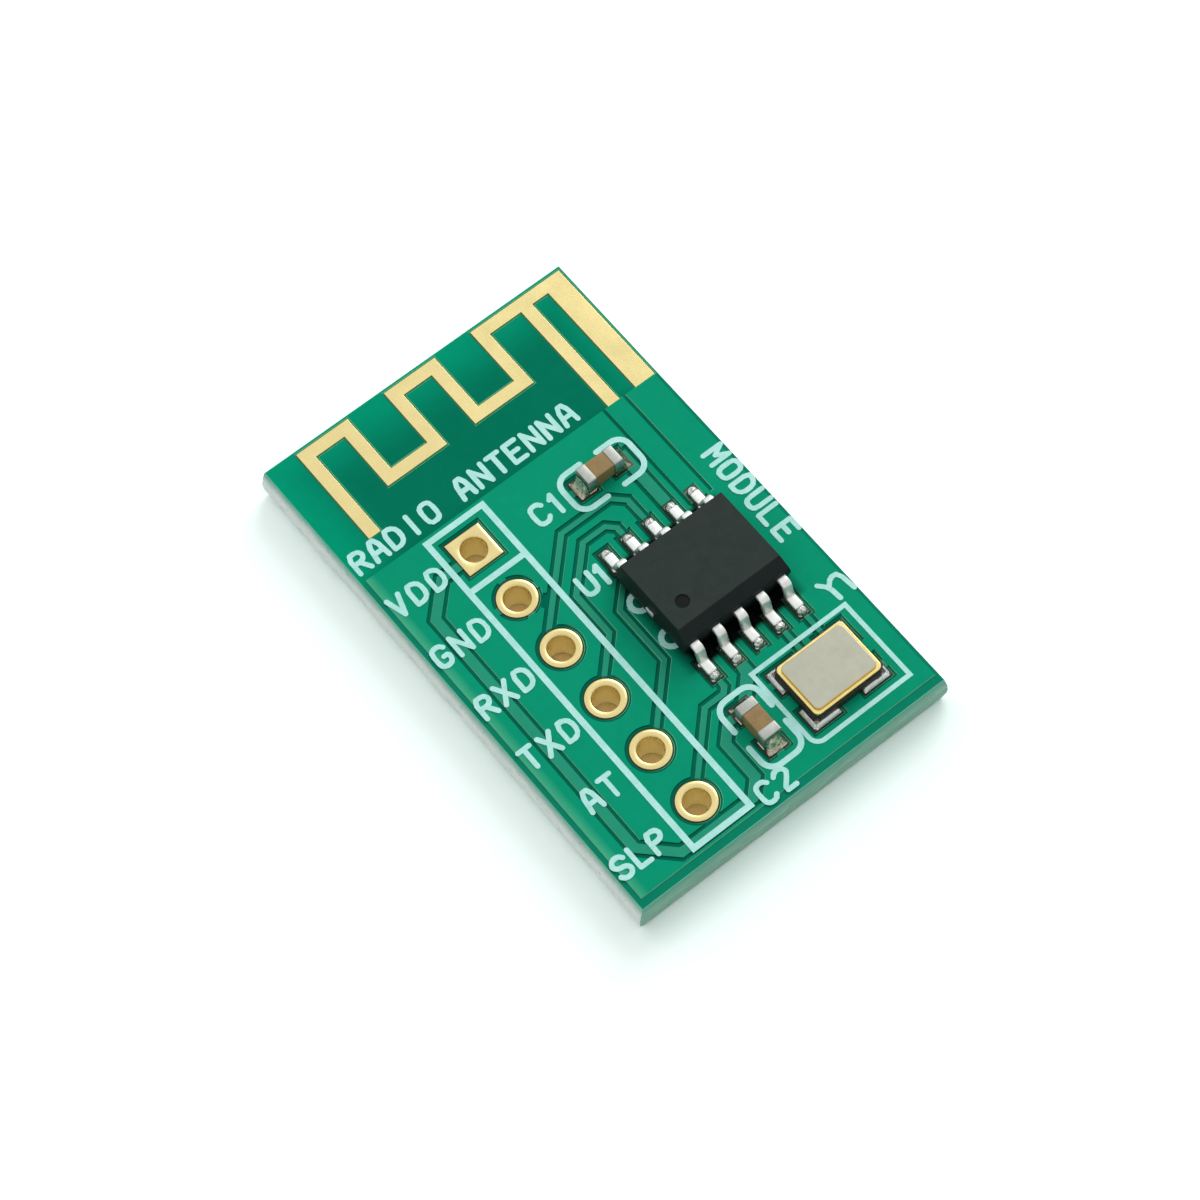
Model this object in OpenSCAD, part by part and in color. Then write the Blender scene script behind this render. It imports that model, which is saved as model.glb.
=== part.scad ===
// Small wireless serial module: a two-layer circuit board with a meander antenna etched into one end,
// a ten-lead integrated circuit, a crystal, two chip capacitors and a row of six plated header holes.
// Millimetres. X runs across the board, Y towards the antenna, Z up from the underside.

/* [Board] */
// Width of the board
board_w = 13.7; // [12.4:0.1:20]
// Length of the board with the antenna end
board_l = 22; // [20:0.1:30]
// Thickness of the bare laminate
core_t = 1.45; // [0.6:0.05:2]
// Thickness of the plated copper on each side
copper_t = 0.05; // [0.03:0.005:0.1]
// Thickness of the solder mask film
mask_t = 0.025; // [0.015:0.005:0.04]
// How far the solder mask stands back from a pad
mask_open = 0.05; // [0.03:0.005:0.07]
// Thickness of the mask on the side of a copper edge
mask_side = 0.02; // [0.01:0.005:0.03]
// Length of the part that carries the ground pour, from the header end
ground_l = 16.12; // [16:0.02:20]
// Bare border between the ground pour and the left edge
pour_left = 0.24; // [0.1:0.02:0.4]
// Bare border between the ground pour and the right edge
pour_right = 0.14; // [0.1:0.02:0.4]
// Bare border between the ground pour and the header end
pour_end = 0.36; // [0.1:0.02:0.4]

/* [Header holes] */
// Pitch of the header holes
pin_pitch = 2.54; // [2:0.01:2.54]
// Finished bore of a header hole
pin_bore = 1; // [0.8:0.05:1.1]
// Width of the pad around a header hole
pad_d = 1.54; // [1.4:0.02:1.7]
// Thickness of the plating in a hole
barrel_t = 0.03; // [0.02:0.005:0.05]
// Distance of the hole row from the chip's middle
header_ic = 5.53; // [5.4:0.01:5.7]
// Distance of the last hole from the header end
header_end = 1.95; // [1.8:0.05:2]

/* [Tracks] */
// Width of a signal track
track_w = 0.2; // [0.15:0.01:0.3]
// Width of the supply track
supply_w = 0.36; // [0.25:0.01:0.45]
// Width of the track to the first capacitor
cap_track_w = 0.44; // [0.3:0.01:0.5]
// Gap between copper of different nets
track_gap = 0.16; // [0.12:0.01:0.2]
// Width of the bridges that tie a ground pad to the pour
spoke_w = 0.3; // [0.2:0.01:0.4]
// How far a bridge runs into the pour
spoke_root = 0.1; // [0.05:0.01:0.2]
// Straight stretch of the receive track above its hole
receive_exit = 0.72; // [0.5:0.02:0.8]
// Straight stretch of the transmit track above its hole
transmit_exit = 0.2; // [0.12:0.01:0.3]
// Sideways step of the command track at its hole
command_exit = 0.16; // [0.05:0.01:0.3]
// Straight stretch of the sleep track above its hole
sleep_exit = 0.08; // [0.05:0.01:0.3]
// Distance of the receive lane from the upper feet
receive_lane = 1.78; // [1.6:0.02:1.9]
// Distance of the transmit lane from the upper feet
transmit_lane = 1; // [0.9:0.02:1.1]
// Corner cut where the transmit lane turns down to its foot
lane_turn = 0.32; // [0.3:0.02:0.5]
// Corner cut where the receive lane turns down to its foot
receive_turn = 0.48; // [0.3:0.02:0.6]
// Distance of the upright transmit stretch from the left end of the chip
transmit_side = 1.38; // [1.2:0.02:1.5]
// Distance of the upright command stretch from the left end of the chip
command_side = 0.54; // [0.44:0.02:0.6]
// Where the command track turns up to its foot, below the upper foot tips
command_turn = 0.97; // [0.8:0.01:1]
// Distance of the sleep lane from the lower feet
sleep_lane = 0.83; // [0.75:0.01:0.9]
// Distance of the upright supply stretch from the left edge
supply_edge = 1.23; // [1:0.02:1.4]
// Distance of the lying supply stretch from the header end
supply_end = 0.78; // [0.75:0.01:0.85]
// Offset of the supply track from the middle of the first pad
supply_exit = 0.22; // [0:0.02:0.4]
// Distance of the returning supply stretch from the second capacitor
supply_return = 1.28; // [1.2:0.02:1.35]
// Corner cut of the supply track
supply_turn = 1.15; // [0.6:0.05:1.2]
// Length of the bare patch beside the second hole
sliver_l = 0.62; // [0.4:0.02:0.8]
// Width of the bare patch beside the second hole
sliver_w = 0.3; // [0.2:0.02:0.4]
// Distance of the bare patch from the second hole
sliver_off = 1.03; // [0.95:0.01:1.1]

/* [Antenna] */
// Width of the antenna trace
antenna_w = 0.52; // [0.4:0.02:0.6]
// Bare border between the antenna and the board's end
antenna_end = 0.16; // [0.1:0.02:0.3]
// Bare border between the antenna and the right edge
antenna_side = 0.13; // [0.1:0.01:0.3]
// Width of the grounded leg
ground_leg_w = 0.9; // [0.6:0.02:0.95]
// Distance between the grounded leg and the feed leg
feed_pitch = 1.47; // [1.4:0.01:1.6]
// Distance between the feed leg and the first meander leg
meander_start = 2; // [1.8:0.02:2.1]
// Number of meander legs
meander_legs = 5; // [3:2:7]
// Depth of the meander as a share of the way from the end bar to the ground pour
meander_share = 0.485; // [0.4:0.005:0.7]
// Length of a lower bar as a share of the way to the next lower bar
low_share = 0.546; // [0.45:0.002:0.6]
// Bare border between the open leg and the left edge
antenna_left = 1.33; // [0.4:0.01:2]
// Distance of the open leg's end from the ground pour
tail_gap = 1.27; // [0.6:0.01:2]
// Width of the feed track under the mask
feed_w = 0.8; // [0.6:0.02:0.84]

/* [Printed legend] */
// Thickness of the ink
ink_t = 0.02; // [0.01:0.005:0.04]
// Line width of the header box
box_line = 0.24; // [0.15:0.01:0.3]
// Line width of the capacitor brackets
bracket_line = 0.22; // [0.15:0.01:0.26]
// Line width of the crystal frame
frame_line = 0.18; // [0.12:0.01:0.22]
// Offset of the print from the copper across the board
print_dx = 0.06; // [-0.1:0.01:0.1]
// Offset of the print from the copper along the board
print_dy = -0.05; // [-0.1:0.01:0.1]
// Length of a capacitor bracket pair between line middles
bracket_l = 3.1; // [2.9:0.02:3.2]
// Width of a capacitor bracket pair between line middles
bracket_w = 1.68; // [1.6:0.02:1.8]
// Corner radius of a bracket
bracket_r = 0.5; // [0.3:0.02:0.6]
// Opening between the two brackets of a pair
bracket_gap = 0.78; // [0.5:0.02:1]
// Length of the crystal frame
frame_l = 4.32; // [4.1:0.02:4.5]
// Width of the crystal frame
frame_w = 3.55; // [3.4:0.02:3.6]
// Radius of the frame's marked corner
frame_r = 0.4; // [0.2:0.02:0.6]
// Radius of the two arcs at the left end of the chip
arc_r = 0.36; // [0.3:0.01:0.42]
// Distance of an arc's middle from the left end of the chip
arc_in = 0.13; // [0.05:0.01:0.2]
// Distance between the middles of the two arcs
arc_pitch = 1.8; // [1.5:0.05:2]

/* [Integrated circuit] */
// Distance of the chip's middle from the right edge
ic_right = 4.17; // [4:0.01:4.4]
// Distance of the chip's middle from the header end
ic_end = 8.34; // [8.25:0.01:8.6]
// Length of the moulded body
ic_l = 4.9; // [4.7:0.05:5.2]
// Width of the moulded body
ic_w = 3.9; // [3.7:0.05:4]
// Height of the moulded body
ic_h = 1.4; // [1.2:0.05:1.6]
// Gap under the moulded body
ic_standoff = 0.1; // [0.05:0.01:0.15]
// How far the body draws in at its top and bottom
ic_draft = 0.13; // [0.05:0.01:0.2]
// Size of the bevel along the first pin's side
ic_bevel = 0.38; // [0.2:0.02:0.45]
// Diameter of the first pin's dimple
dimple_d = 0.55; // [0.3:0.01:0.7]
// Depth of the first pin's dimple
dimple_depth = 0.04; // [0.02:0.01:0.08]
// Distance of the dimple from the chip's middle along the body
dimple_x = 1.48; // [1.2:0.02:1.8]
// Distance of the dimple from the chip's middle across the body
dimple_y = 0.66; // [0.5:0.02:0.9]
// Pitch of the leads
lead_pitch = 1; // [0.9:0.01:1.05]
// Width of a lead
lead_w = 0.4; // [0.3:0.01:0.45]
// Thickness of a lead
lead_t = 0.2; // [0.15:0.01:0.25]
// How far the feet reach from the body
lead_reach = 1.05; // [1:0.01:1.1]
// Length of a foot
foot_l = 0.58; // [0.5:0.01:0.6]
// Straight stretch of a lead beside the body
shoulder_l = 0.25; // [0.22:0.01:0.28]
// Bend radius in the middle of a lead
lead_bend = 0.18; // [0.14:0.01:0.2]
// Length of a lead inside the body
finger_l = 0.6; // [0.5:0.02:0.65]
// Length of the paddle under the die
paddle_l = 3.3; // [2.6:0.1:3.6]
// Width of the paddle under the die
paddle_w = 2.1; // [1.8:0.1:2.2]
// Width of the bars that tie the paddle to the body's ends
tie_w = 0.4; // [0.2:0.02:0.6]
// Straight stretch of a tie bar beside the paddle
tie_run = 0.1; // [0.06:0.01:0.14]
// Length over which a tie bar climbs to the level of the leads
tie_climb = 0.38; // [0.3:0.01:0.4]
// How far a cut tie bar stands out of the body
tie_stub = 0.03; // [0.01:0.01:0.06]
// Length of the die
die_l = 1.8; // [1.4:0.1:2.2]
// Width of the die
die_w = 1.5; // [1.2:0.1:1.6]
// Thickness of the die
die_t = 0.25; // [0.15:0.01:0.3]
// Thickness of a bond wire
wire_t = 0.03; // [0.02:0.005:0.05]
// Height of a bond wire's loop over the lead
wire_rise = 0.15; // [0.1:0.01:0.2]
// Pitch of the bond pads on the die
bond_pitch = 0.3; // [0.2:0.01:0.32]
// Distance of a bond from the edge of the die or the finger
bond_edge = 0.12; // [0.08:0.01:0.16]

/* [Crystal] */
// Distance of the crystal's middle from the right edge
xtal_right = 3.05; // [2.9:0.01:3.15]
// Distance of the crystal's middle from the header end
xtal_end = 2.73; // [2.6:0.01:2.8]
// Length of the crystal
xtal_l = 3.2; // [3:0.05:3.3]
// Width of the crystal
xtal_w = 2.5; // [2.3:0.05:2.55]
// Height of the ceramic base
base_h = 0.42; // [0.35:0.01:0.6]
// Depth of the cavity in the base
cavity_depth = 0.22; // [0.15:0.01:0.28]
// Radius of the notches at the base's corners
notch_r = 0.18; // [0.12:0.01:0.22]
// How far the seal ring stands back from the base
ring_inset = 0.07; // [0.03:0.01:0.1]
// Wall of the seal ring
ring_wall = 0.3; // [0.2:0.01:0.34]
// Height of the seal ring
ring_h = 0.15; // [0.1:0.01:0.25]
// Corner radius of the seal ring
ring_r = 0.22; // [0.15:0.01:0.28]
// How far the lid stands back from the seal ring
lid_inset = 0.12; // [0.06:0.01:0.16]
// Thickness of the lid
lid_t = 0.1; // [0.06:0.01:0.15]
// Length of the quartz blank
blank_l = 1.9; // [1.6:0.05:2]
// Width of the quartz blank
blank_w = 1.2; // [1:0.05:1.3]
// Thickness of the quartz blank
blank_t = 0.05; // [0.03:0.01:0.08]
// Diameter of a glue dot under the blank
glue_d = 0.3; // [0.2:0.01:0.36]
// Height of a glue dot
glue_h = 0.05; // [0.03:0.01:0.06]
// Thickness of a metal terminal under the base
terminal_t = 0.03; // [0.02:0.005:0.05]
// Length of a metal terminal under the base
terminal_l = 1.1; // [0.9:0.02:1.15]
// Width of a metal terminal under the base
terminal_w = 0.85; // [0.7:0.02:0.9]
// How far a land reaches past the crystal
xtal_toe = 0.15; // [0.1:0.01:0.24]

/* [Capacitors] */
// Distance of the first capacitor's middle from the right edge
c1_right = 4.3; // [4.1:0.02:5.3]
// Distance of the first capacitor's middle from the header end
c1_end = 14.12; // [14.08:0.02:14.8]
// Distance of the second capacitor's middle from the right edge
c2_right = 6.25; // [6.2:0.01:6.28]
// Distance of the second capacitor's middle from the header end
c2_end = 2.76; // [2.7:0.01:2.85]
// Length of a capacitor
chip_l = 1.6; // [1.5:0.02:1.66]
// Width of a capacitor
chip_w = 0.8; // [0.7:0.02:0.84]
// Height of a capacitor
chip_h = 0.8; // [0.6:0.02:0.9]
// Length of an end terminal
band_l = 0.38; // [0.25:0.01:0.45]
// Thickness of an end terminal's metal
band_t = 0.03; // [0.02:0.005:0.05]
// Edge radius of a capacitor
chip_r = 0.08; // [0.06:0.01:0.12]
// How far a land reaches past a capacitor's end
chip_toe = 0.36; // [0.3:0.01:0.4]

/* [Solder] */
// Solder between a land and the metal on it
solder_t = 0.03; // [0.02:0.005:0.05]
// How far a land reaches past a foot's tip
land_toe = 0.28; // [0.2:0.01:0.4]
// How far a land reaches behind a foot
land_heel = 0.12; // [0.08:0.01:0.24]
// How far a land is wider than the metal on it, on each side
land_side = 0.03; // [0.03:0.005:0.05]
// How far solder stands back from the land's edge
solder_back = 0.01; // [0.005:0.005:0.02]
// Solder left on the metal at the top of a joint
solder_skin = 0.02; // [0.01:0.005:0.03]
// Height of the joint at a lead
lead_joint = 0.17; // [0.1:0.01:0.2]
// Height of the joint at a capacitor
chip_joint = 0.5; // [0.3:0.02:0.56]
// Height of the joint at the crystal
xtal_joint = 0.3; // [0.2:0.01:0.36]

/* [Hidden] */
$fn = 64;
pins = 6;
lead_count = 10;
row_count = lead_count / 2;
arc_steps = 8;
bend_steps = 6;

// Levels above the underside
z_core = mask_t + copper_t;
z_face = z_core + core_t;
z_copper = z_face + copper_t;
z_mask = z_copper + mask_t;
z_foot = z_copper + solder_t;
over = core_t;

// Middles of the pieces on the board
edge_x = board_w / 2;
edge_y = board_l / 2;
header_y = header_end - edge_y;
ic_at = [edge_x - ic_right, ic_end - edge_y];
header_x = ic_at.x - header_ic;
xtal_at = [edge_x - xtal_right, xtal_end - edge_y];
c1_at = [edge_x - c1_right, c1_end - edge_y];
c2_at = [edge_x - c2_right, c2_end - edge_y];
zone_y = ground_l - edge_y;

// The chip's leads, measured outwards from its middle
tip_u = ic_w / 2 + lead_reach;
foot_u = tip_u - foot_l;
finger_u = ic_w / 2 - finger_l;
land_out = tip_u + land_toe;
land_in = foot_u - land_heel;
lead_rise = ic_standoff + ic_h / 2;
low_tip = ic_at.y - tip_u;
high_tip = ic_at.y + tip_u;
ic_left = ic_at.x - ic_l / 2;

// The crystal's and the capacitors' lands
xtal_land = [terminal_l + xtal_toe - land_side, terminal_w + xtal_toe - land_side];
xtal_land_at = [xtal_l / 2 + xtal_toe - xtal_land.x / 2, xtal_w / 2 + xtal_toe - xtal_land.y / 2];
chip_land = [band_l + chip_toe, chip_w + 2 * land_side];
chip_land_at = chip_l / 2 + chip_toe - chip_land.x / 2;
chip_size = [chip_l, chip_w, chip_h];
ring_size = [xtal_l - 2 * ring_inset, xtal_w - 2 * ring_inset];
base_z = z_foot + terminal_t;
ring_z = base_z + base_h;

// Plane geometry: an open line of points is given a width with mitred corners, arcs and round ends
function unit(v) = v / norm(v);
function turned(v, q) = [v.x * cos(q) - v.y * sin(q), v.x * sin(q) + v.y * cos(q)];
function way(p, i) = unit(p[min(i + 1, len(p) - 1)] - p[min(i, len(p) - 2)]);
function mitre(p, i) =
    let (a = turned(way(p, max(i - 1, 0)), 90), b = turned(way(p, i), 90), m = a + b)
    m / (m * m);
function flank(p, w, s) = [for (i = [0:len(p) - 1]) p[i] + s * w * mitre(p, i)];
function flipped(p) = [for (i = [len(p) - 1:-1:0]) p[i]];
function stroke(p, w) = concat(flank(p, w, 1), flipped(flank(p, w, -1)));
function round_end(c, d, h) = [for (k = [1:arc_steps - 1]) c + h * turned(d, 90 - 180 * k / arc_steps)];
function capped(p, w) = let (n = len(p) - 1)
    concat(flank(p, w, 1), round_end(p[n], way(p, n), w / 2),
        flipped(flank(p, w, -1)), round_end(p[0], -way(p, 0), w / 2));
function bend(a, b, c, r) =
    let (d = unit(b - a), e = unit(c - b), s = sign(cross(d, e)), q = acos(d * e))
    let (start = b - d * r * tan(q / 2), o = start + s * r * turned(d, 90))
    [for (k = [0:bend_steps]) o + turned(start - o, s * q * k / bend_steps)];
function bent(p, r) = concat([p[0]],
    [for (i = [1:len(p) - 2]) each bend(p[i - 1], p[i], p[i + 1], r)], [p[len(p) - 1]]);
function corner(x, y, r, q) = [for (k = [0:bend_steps]) [x, y] + r * turned([1, 0], q + 90 * k / bend_steps)];
function rounded(w, l, r) = let (x = w / 2 - r, y = l / 2 - r)
    concat(corner(x, y, r, 0), corner(-x, y, r, 90), corner(-x, -y, r, 180), corner(x, -y, r, 270));
function marked(w, l, r) =
    concat(corner(r - w / 2, r - l / 2, r, 180), [[w / 2, -l / 2], [w / 2, l / 2], [-w / 2, l / 2]]);

// Places along the header and along the chip's two rows, counted as on the real pieces
function pin(i) = [header_x, header_y + (pins - i) * pin_pitch];
function lead_row(k) = k <= row_count ? -1 : 1;
function lead_x(k) =
    (k <= row_count ? k - (row_count + 1) / 2 : lead_count - k - (row_count - 1) / 2) * lead_pitch;
function foot(k) = [ic_at.x + lead_x(k), ic_at.y + lead_row(k) * (tip_u - foot_l / 2)];
function lead_land(k) = [[foot(k).x, ic_at.y + lead_row(k) * (land_in + land_out) / 2],
    [lead_w + 2 * land_side, land_out - land_in]];
function xtal_pad(sx, sy) = [xtal_at + [sx * xtal_land_at.x, sy * xtal_land_at.y], xtal_land];

ground_lead = 3;
lead_lands = [for (k = [1:lead_count]) lead_land(k)];
c1_lands = [for (s = [-1, 1]) [c1_at + [s * chip_land_at, 0], chip_land]];
c2_lands = [for (s = [-1, 1]) [c2_at + [0, s * chip_land_at], [chip_land.y, chip_land.x]]];
ground_lands = [lead_land(ground_lead), xtal_pad(-1, 1), xtal_pad(1, -1), c1_lands[0], c2_lands[0]];
signal_lands = concat([for (k = [1:lead_count]) if (k != ground_lead) lead_land(k)],
    [xtal_pad(-1, -1), xtal_pad(1, 1), c1_lands[1], c2_lands[1]]);
lands = concat(signal_lands, ground_lands);
paddle_land = [ic_at, [paddle_l, paddle_w]];

// Middle lines of the tracks, each with its width
receive_y = high_tip + receive_lane;
transmit_y = high_tip + transmit_lane;
transmit_x = ic_left - transmit_side;
command_x = ic_left - command_side;
command_y = high_tip - command_turn;
sleep_y = low_tip - sleep_lane;
supply_x = supply_edge - edge_x;
supply_y = supply_end - edge_y;
return_x = c2_at.x - supply_return;
low_drop = foot(9).x - lead_pitch - lane_turn;
receive_line = let (a = pin(3) + [0, receive_exit]) [
    pin(3), a, [a.x + receive_y - a.y, receive_y],
    [foot(8).x - receive_turn, receive_y], [foot(8).x, receive_y - receive_turn], foot(8)];
transmit_line = let (a = pin(4) + [0, transmit_exit]) [
    pin(4), a, [transmit_x, a.y + transmit_x - a.x], [transmit_x, transmit_y - low_drop + transmit_x],
    [low_drop, transmit_y],
    [foot(9).x - lane_turn, transmit_y], [foot(9).x, transmit_y - lane_turn], foot(9)];
command_line = let (a = pin(5) + [command_exit, 0]) [
    a, [command_x, a.y + command_x - a.x], [command_x, command_y - foot(10).x + command_x],
    [foot(10).x, command_y], foot(10)];
sleep_line = let (a = pin(6) + [0, sleep_exit]) [
    pin(6), a, [a.x + sleep_y - a.y, sleep_y],
    [foot(1).x - track_w, sleep_y], [foot(1).x, sleep_y + track_w], foot(1)];
supply_line = let (a = pin(1) - [0, supply_exit], e = c2_lands[1][0]) [
    a, [supply_x + supply_turn, a.y], [supply_x, a.y - supply_turn],
    [supply_x, supply_y + supply_turn], [supply_x + supply_turn, supply_y],
    [return_x - supply_turn / 2, supply_y], [return_x, supply_y + supply_turn / 2],
    [return_x, e.y - supply_turn / 2], [return_x + supply_turn / 2, e.y], e];
chip_supply_line = let (a = c2_lands[1][0], b = foot(2)) [a, [b.x, a.y + b.x - a.x], b];
cap_line = let (a = foot(7), b = c1_lands[1][0]) [a, [a.x, b.y], b];
xtal_in_line = let (a = foot(4), b = xtal_pad(-1, -1)[0]) [a, [a.x, b.y + a.x - b.x], b];
xtal_out_line = let (a = foot(5), b = xtal_pad(1, 1)[0]) [a, [a.x, b.y]];
tracks = [[track_w, receive_line], [track_w, transmit_line], [track_w, command_line], [track_w, sleep_line],
    [supply_w, supply_line], [cap_track_w, chip_supply_line], [cap_track_w, cap_line],
    [track_w, xtal_in_line], [track_w, xtal_out_line]];

// The antenna's legs, counted from the feed towards the open end
ground_x = edge_x - antenna_side - ground_leg_w / 2;
feed_x = ground_x - feed_pitch;
bar_y = edge_y - antenna_end - antenna_w / 2;
low_bar_y = bar_y - meander_share * (bar_y - zone_y);
first_x = feed_x - meander_start;
last_x = antenna_left + antenna_w / 2 - edge_x;
bar_pitch = 2 * (first_x - last_x) / (meander_legs - 1);
low_span = low_share * bar_pitch;
high_span = bar_pitch - low_span;
function leg_x(i) = first_x - ceil(i / 2) * low_span - floor(i / 2) * high_span;
function leg_ends(i) = i % 2 == 0 ? [bar_y, low_bar_y] : [low_bar_y, bar_y];
meander = concat([[ground_x, bar_y]],
    [for (i = [0:meander_legs - 2], e = leg_ends(i)) [leg_x(i), e]],
    [[last_x, bar_y], [last_x, zone_y + tail_gap]]);

// Short bridges that tie the ground pads to the pour: start, direction and half length of the pad
spokes = concat([for (q = [0:90:270]) [pin(2), turned([1, 0], q), pad_d / 2]], [
    [ground_lands[0][0], [0, -1], ground_lands[0][1].y / 2],
    [ground_lands[1][0], [-1, 0], xtal_land.x / 2],
    [ground_lands[2][0], [1, 0], xtal_land.x / 2],
    [ground_lands[3][0], [-1, 0], chip_land.x / 2],
    [ground_lands[4][0], [0, -1], chip_land.x / 2]]);

function names(stem, n) = [for (i = [1:n]) str(stem, i)];
function chip_names(c) = [for (s = ["_body", "_terminal_a", "_terminal_b", "_solder"]) str(c, s)];

// Flat shapes of the board's layers; grow widens the copper
module board_2d() {
    square([board_w, board_l], center = true);
}

module pads_2d(list, grow = 0) {
    for (p = list) {
        translate(p[0]) square(p[1] + [2 * grow, 2 * grow], center = true);
    }
}

module hole_pad_2d(i, grow = 0) {
    translate(pin(i)) {
        if (i == 1) {
            square(pad_d + 2 * grow, center = true);
        } else {
            circle(d = pad_d + 2 * grow);
        }
    }
}

module hole_pads_2d(grow = 0) {
    for (i = [1:pins]) hole_pad_2d(i, grow);
}

module tracks_2d(grow = 0) {
    for (t = tracks) polygon(stroke(t[1], t[0] + 2 * grow));
}

module feed_2d(grow = 0, past = 0) {
    polygon(stroke([foot(6) - [foot(6).x - feed_x, 0], [feed_x, zone_y + past]], feed_w + 2 * grow));
}

module spokes_2d(grow = 0) {
    for (s = spokes) {
        polygon(stroke([s[0], s[0] + s[1] * (s[2] + track_gap + spoke_root)], spoke_w + 2 * grow));
    }
}

module sliver_2d(grow = 0) {
    translate(pin(2) + turned([sliver_off, 0], -45)) {
        rotate(45) square([sliver_l - 2 * grow, sliver_w - 2 * grow], center = true);
    }
}

module pour_area_2d(grow = 0) {
    translate([pour_left - edge_x - grow, pour_end - edge_y - grow]) {
        square([board_w - pour_left - pour_right + 2 * grow, zone_y + edge_y - pour_end + 2 * grow]);
    }
}

// Everything outside the pour's rectangle
module border_2d(grow = 0) {
    difference() {
        square([board_w + over, board_l + over], center = true);
        pour_area_2d(grow);
    }
}

// Copper-free rings around the ground pads, broken by the bridges
module ground_rings_2d(grow = 0) {
    difference() {
        union() {
            pads_2d(ground_lands, track_gap - grow);
            hole_pad_2d(2, track_gap - grow);
        }
        spokes_2d(grow);
    }
}

// Copper-free channels around every signal
module channels_2d(grow = 0) {
    gap = track_gap - grow;
    pads_2d(signal_lands, gap);
    for (i = [1:pins]) if (i != 2) hole_pad_2d(i, gap);
    tracks_2d(gap);
    feed_2d(gap, over);
    sliver_2d(grow);
}

module top_pour_2d() {
    difference() {
        pour_area_2d();
        channels_2d();
        ground_rings_2d();
    }
}

module bottom_pour_2d() {
    difference() {
        pour_area_2d();
        for (i = [1:pins]) if (i != 2) hole_pad_2d(i, track_gap);
        ground_rings_2d();
    }
}

module antenna_2d(grow = 0) {
    polygon(stroke(meander, antenna_w + 2 * grow));
    polygon(stroke([[feed_x, bar_y], [feed_x, zone_y]], antenna_w + 2 * grow));
    polygon(stroke([[ground_x, bar_y + antenna_w / 2 + grow], [ground_x, zone_y]], ground_leg_w + 2 * grow));
}

module top_openings_2d() {
    pads_2d(lands, mask_open);
    pads_2d([paddle_land], mask_open);
    hole_pads_2d(mask_open);
    antenna_2d(mask_open);
}

// A mask film on the face at zero, which follows the copper below it.
// Children: openings, the low area beside the copper, the copper
module mask_film() {
    difference() {
        linear_extrude(copper_t + mask_t) difference() {
            board_2d();
            children(0);
        }
        translate([0, 0, mask_t]) linear_extrude(over) children(1);
        translate([0, 0, -over]) linear_extrude(over + copper_t) children(2);
    }
}

module substrate() {
    color("darkseagreen") translate([0, 0, z_core]) linear_extrude(core_t) difference() {
        board_2d();
        for (i = [1:pins]) translate(pin(i)) circle(d = pin_bore + 2 * barrel_t);
    }
}

module top_ground_pour() {
    color("peru") translate([0, 0, z_face]) linear_extrude(copper_t) difference() {
        top_pour_2d();
        pads_2d(lands);
        pads_2d([paddle_land]);
        hole_pads_2d();
    }
}

module signal_tracks() {
    color("chocolate") translate([0, 0, z_face]) linear_extrude(copper_t) difference() {
        union() {
            tracks_2d();
            feed_2d();
        }
        pads_2d(lands);
        hole_pads_2d();
    }
}

module solder_lands() {
    color("sandybrown") translate([0, 0, z_face]) linear_extrude(copper_t) {
        pads_2d(lands);
        pads_2d([paddle_land]);
    }
}

module antenna() {
    color("gold") translate([0, 0, z_face]) linear_extrude(copper_t) antenna_2d();
}

module top_solder_mask() {
    color("seagreen") translate([0, 0, z_face]) mask_film() {
        top_openings_2d();
        union() {
            border_2d(mask_side);
            difference() {
                channels_2d(mask_side);
                tracks_2d(mask_side);
                feed_2d(mask_side);
            }
            ground_rings_2d(mask_side);
        }
        union() {
            top_pour_2d();
            tracks_2d();
            feed_2d();
        }
    }
}

module bottom_ground_pour() {
    color("peru") translate([0, 0, mask_t]) linear_extrude(copper_t) difference() {
        bottom_pour_2d();
        hole_pads_2d();
    }
}

module bottom_solder_mask() {
    color("seagreen") translate([0, 0, z_core]) mirror([0, 0, 1]) mask_film() {
        hole_pads_2d(mask_open);
        union() {
            border_2d(mask_side);
            hole_pads_2d(track_gap - mask_side);
        }
        bottom_pour_2d();
    }
}

// A hole's plating: a thin tube through the laminate with a pad on each face
module plated_hole(i) {
    color("gold") difference() {
        union() {
            for (z = [z_core - copper_t, z_face]) {
                translate([0, 0, z]) linear_extrude(copper_t) hole_pad_2d(i);
            }
            translate([pin(i).x, pin(i).y, z_core]) cylinder(d = pin_bore + 2 * barrel_t, h = core_t);
        }
        translate([pin(i).x, pin(i).y, z_core - over]) cylinder(d = pin_bore, h = core_t + 2 * over);
    }
}

module header_box_2d() {
    w = pin_pitch;
    l = pins * pin_pitch;
    translate([header_x, header_y + (pins - 1) / 2 * pin_pitch]) difference() {
        square([w + box_line, l + box_line], center = true);
        square([w - box_line, l - box_line], center = true);
    }
    translate(pin(1) - [0, pin_pitch / 2]) square([w, box_line], center = true);
}

module bracket_pair_2d() {
    x = bracket_l / 2;
    y = bracket_w / 2;
    for (s = [-1, 1]) {
        half = [[s * bracket_gap / 2, y], [s * x, y], [s * x, -y], [s * bracket_gap / 2, -y]];
        polygon(capped(bent(half, bracket_r), bracket_line));
    }
}

module crystal_frame_2d() {
    difference() {
        polygon(marked(frame_l + frame_line, frame_w + frame_line, frame_r + frame_line / 2));
        polygon(marked(frame_l - frame_line, frame_w - frame_line, frame_r - frame_line / 2));
    }
}

module chip_arcs_2d() {
    for (s = [-1, 1]) {
        arc = [for (k = [0:arc_steps]) arc_r * turned([0, 1], 180 * k / arc_steps)];
        translate([ic_left + arc_in, ic_at.y + s * arc_pitch / 2]) polygon(capped(arc, bracket_line));
    }
}

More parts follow.
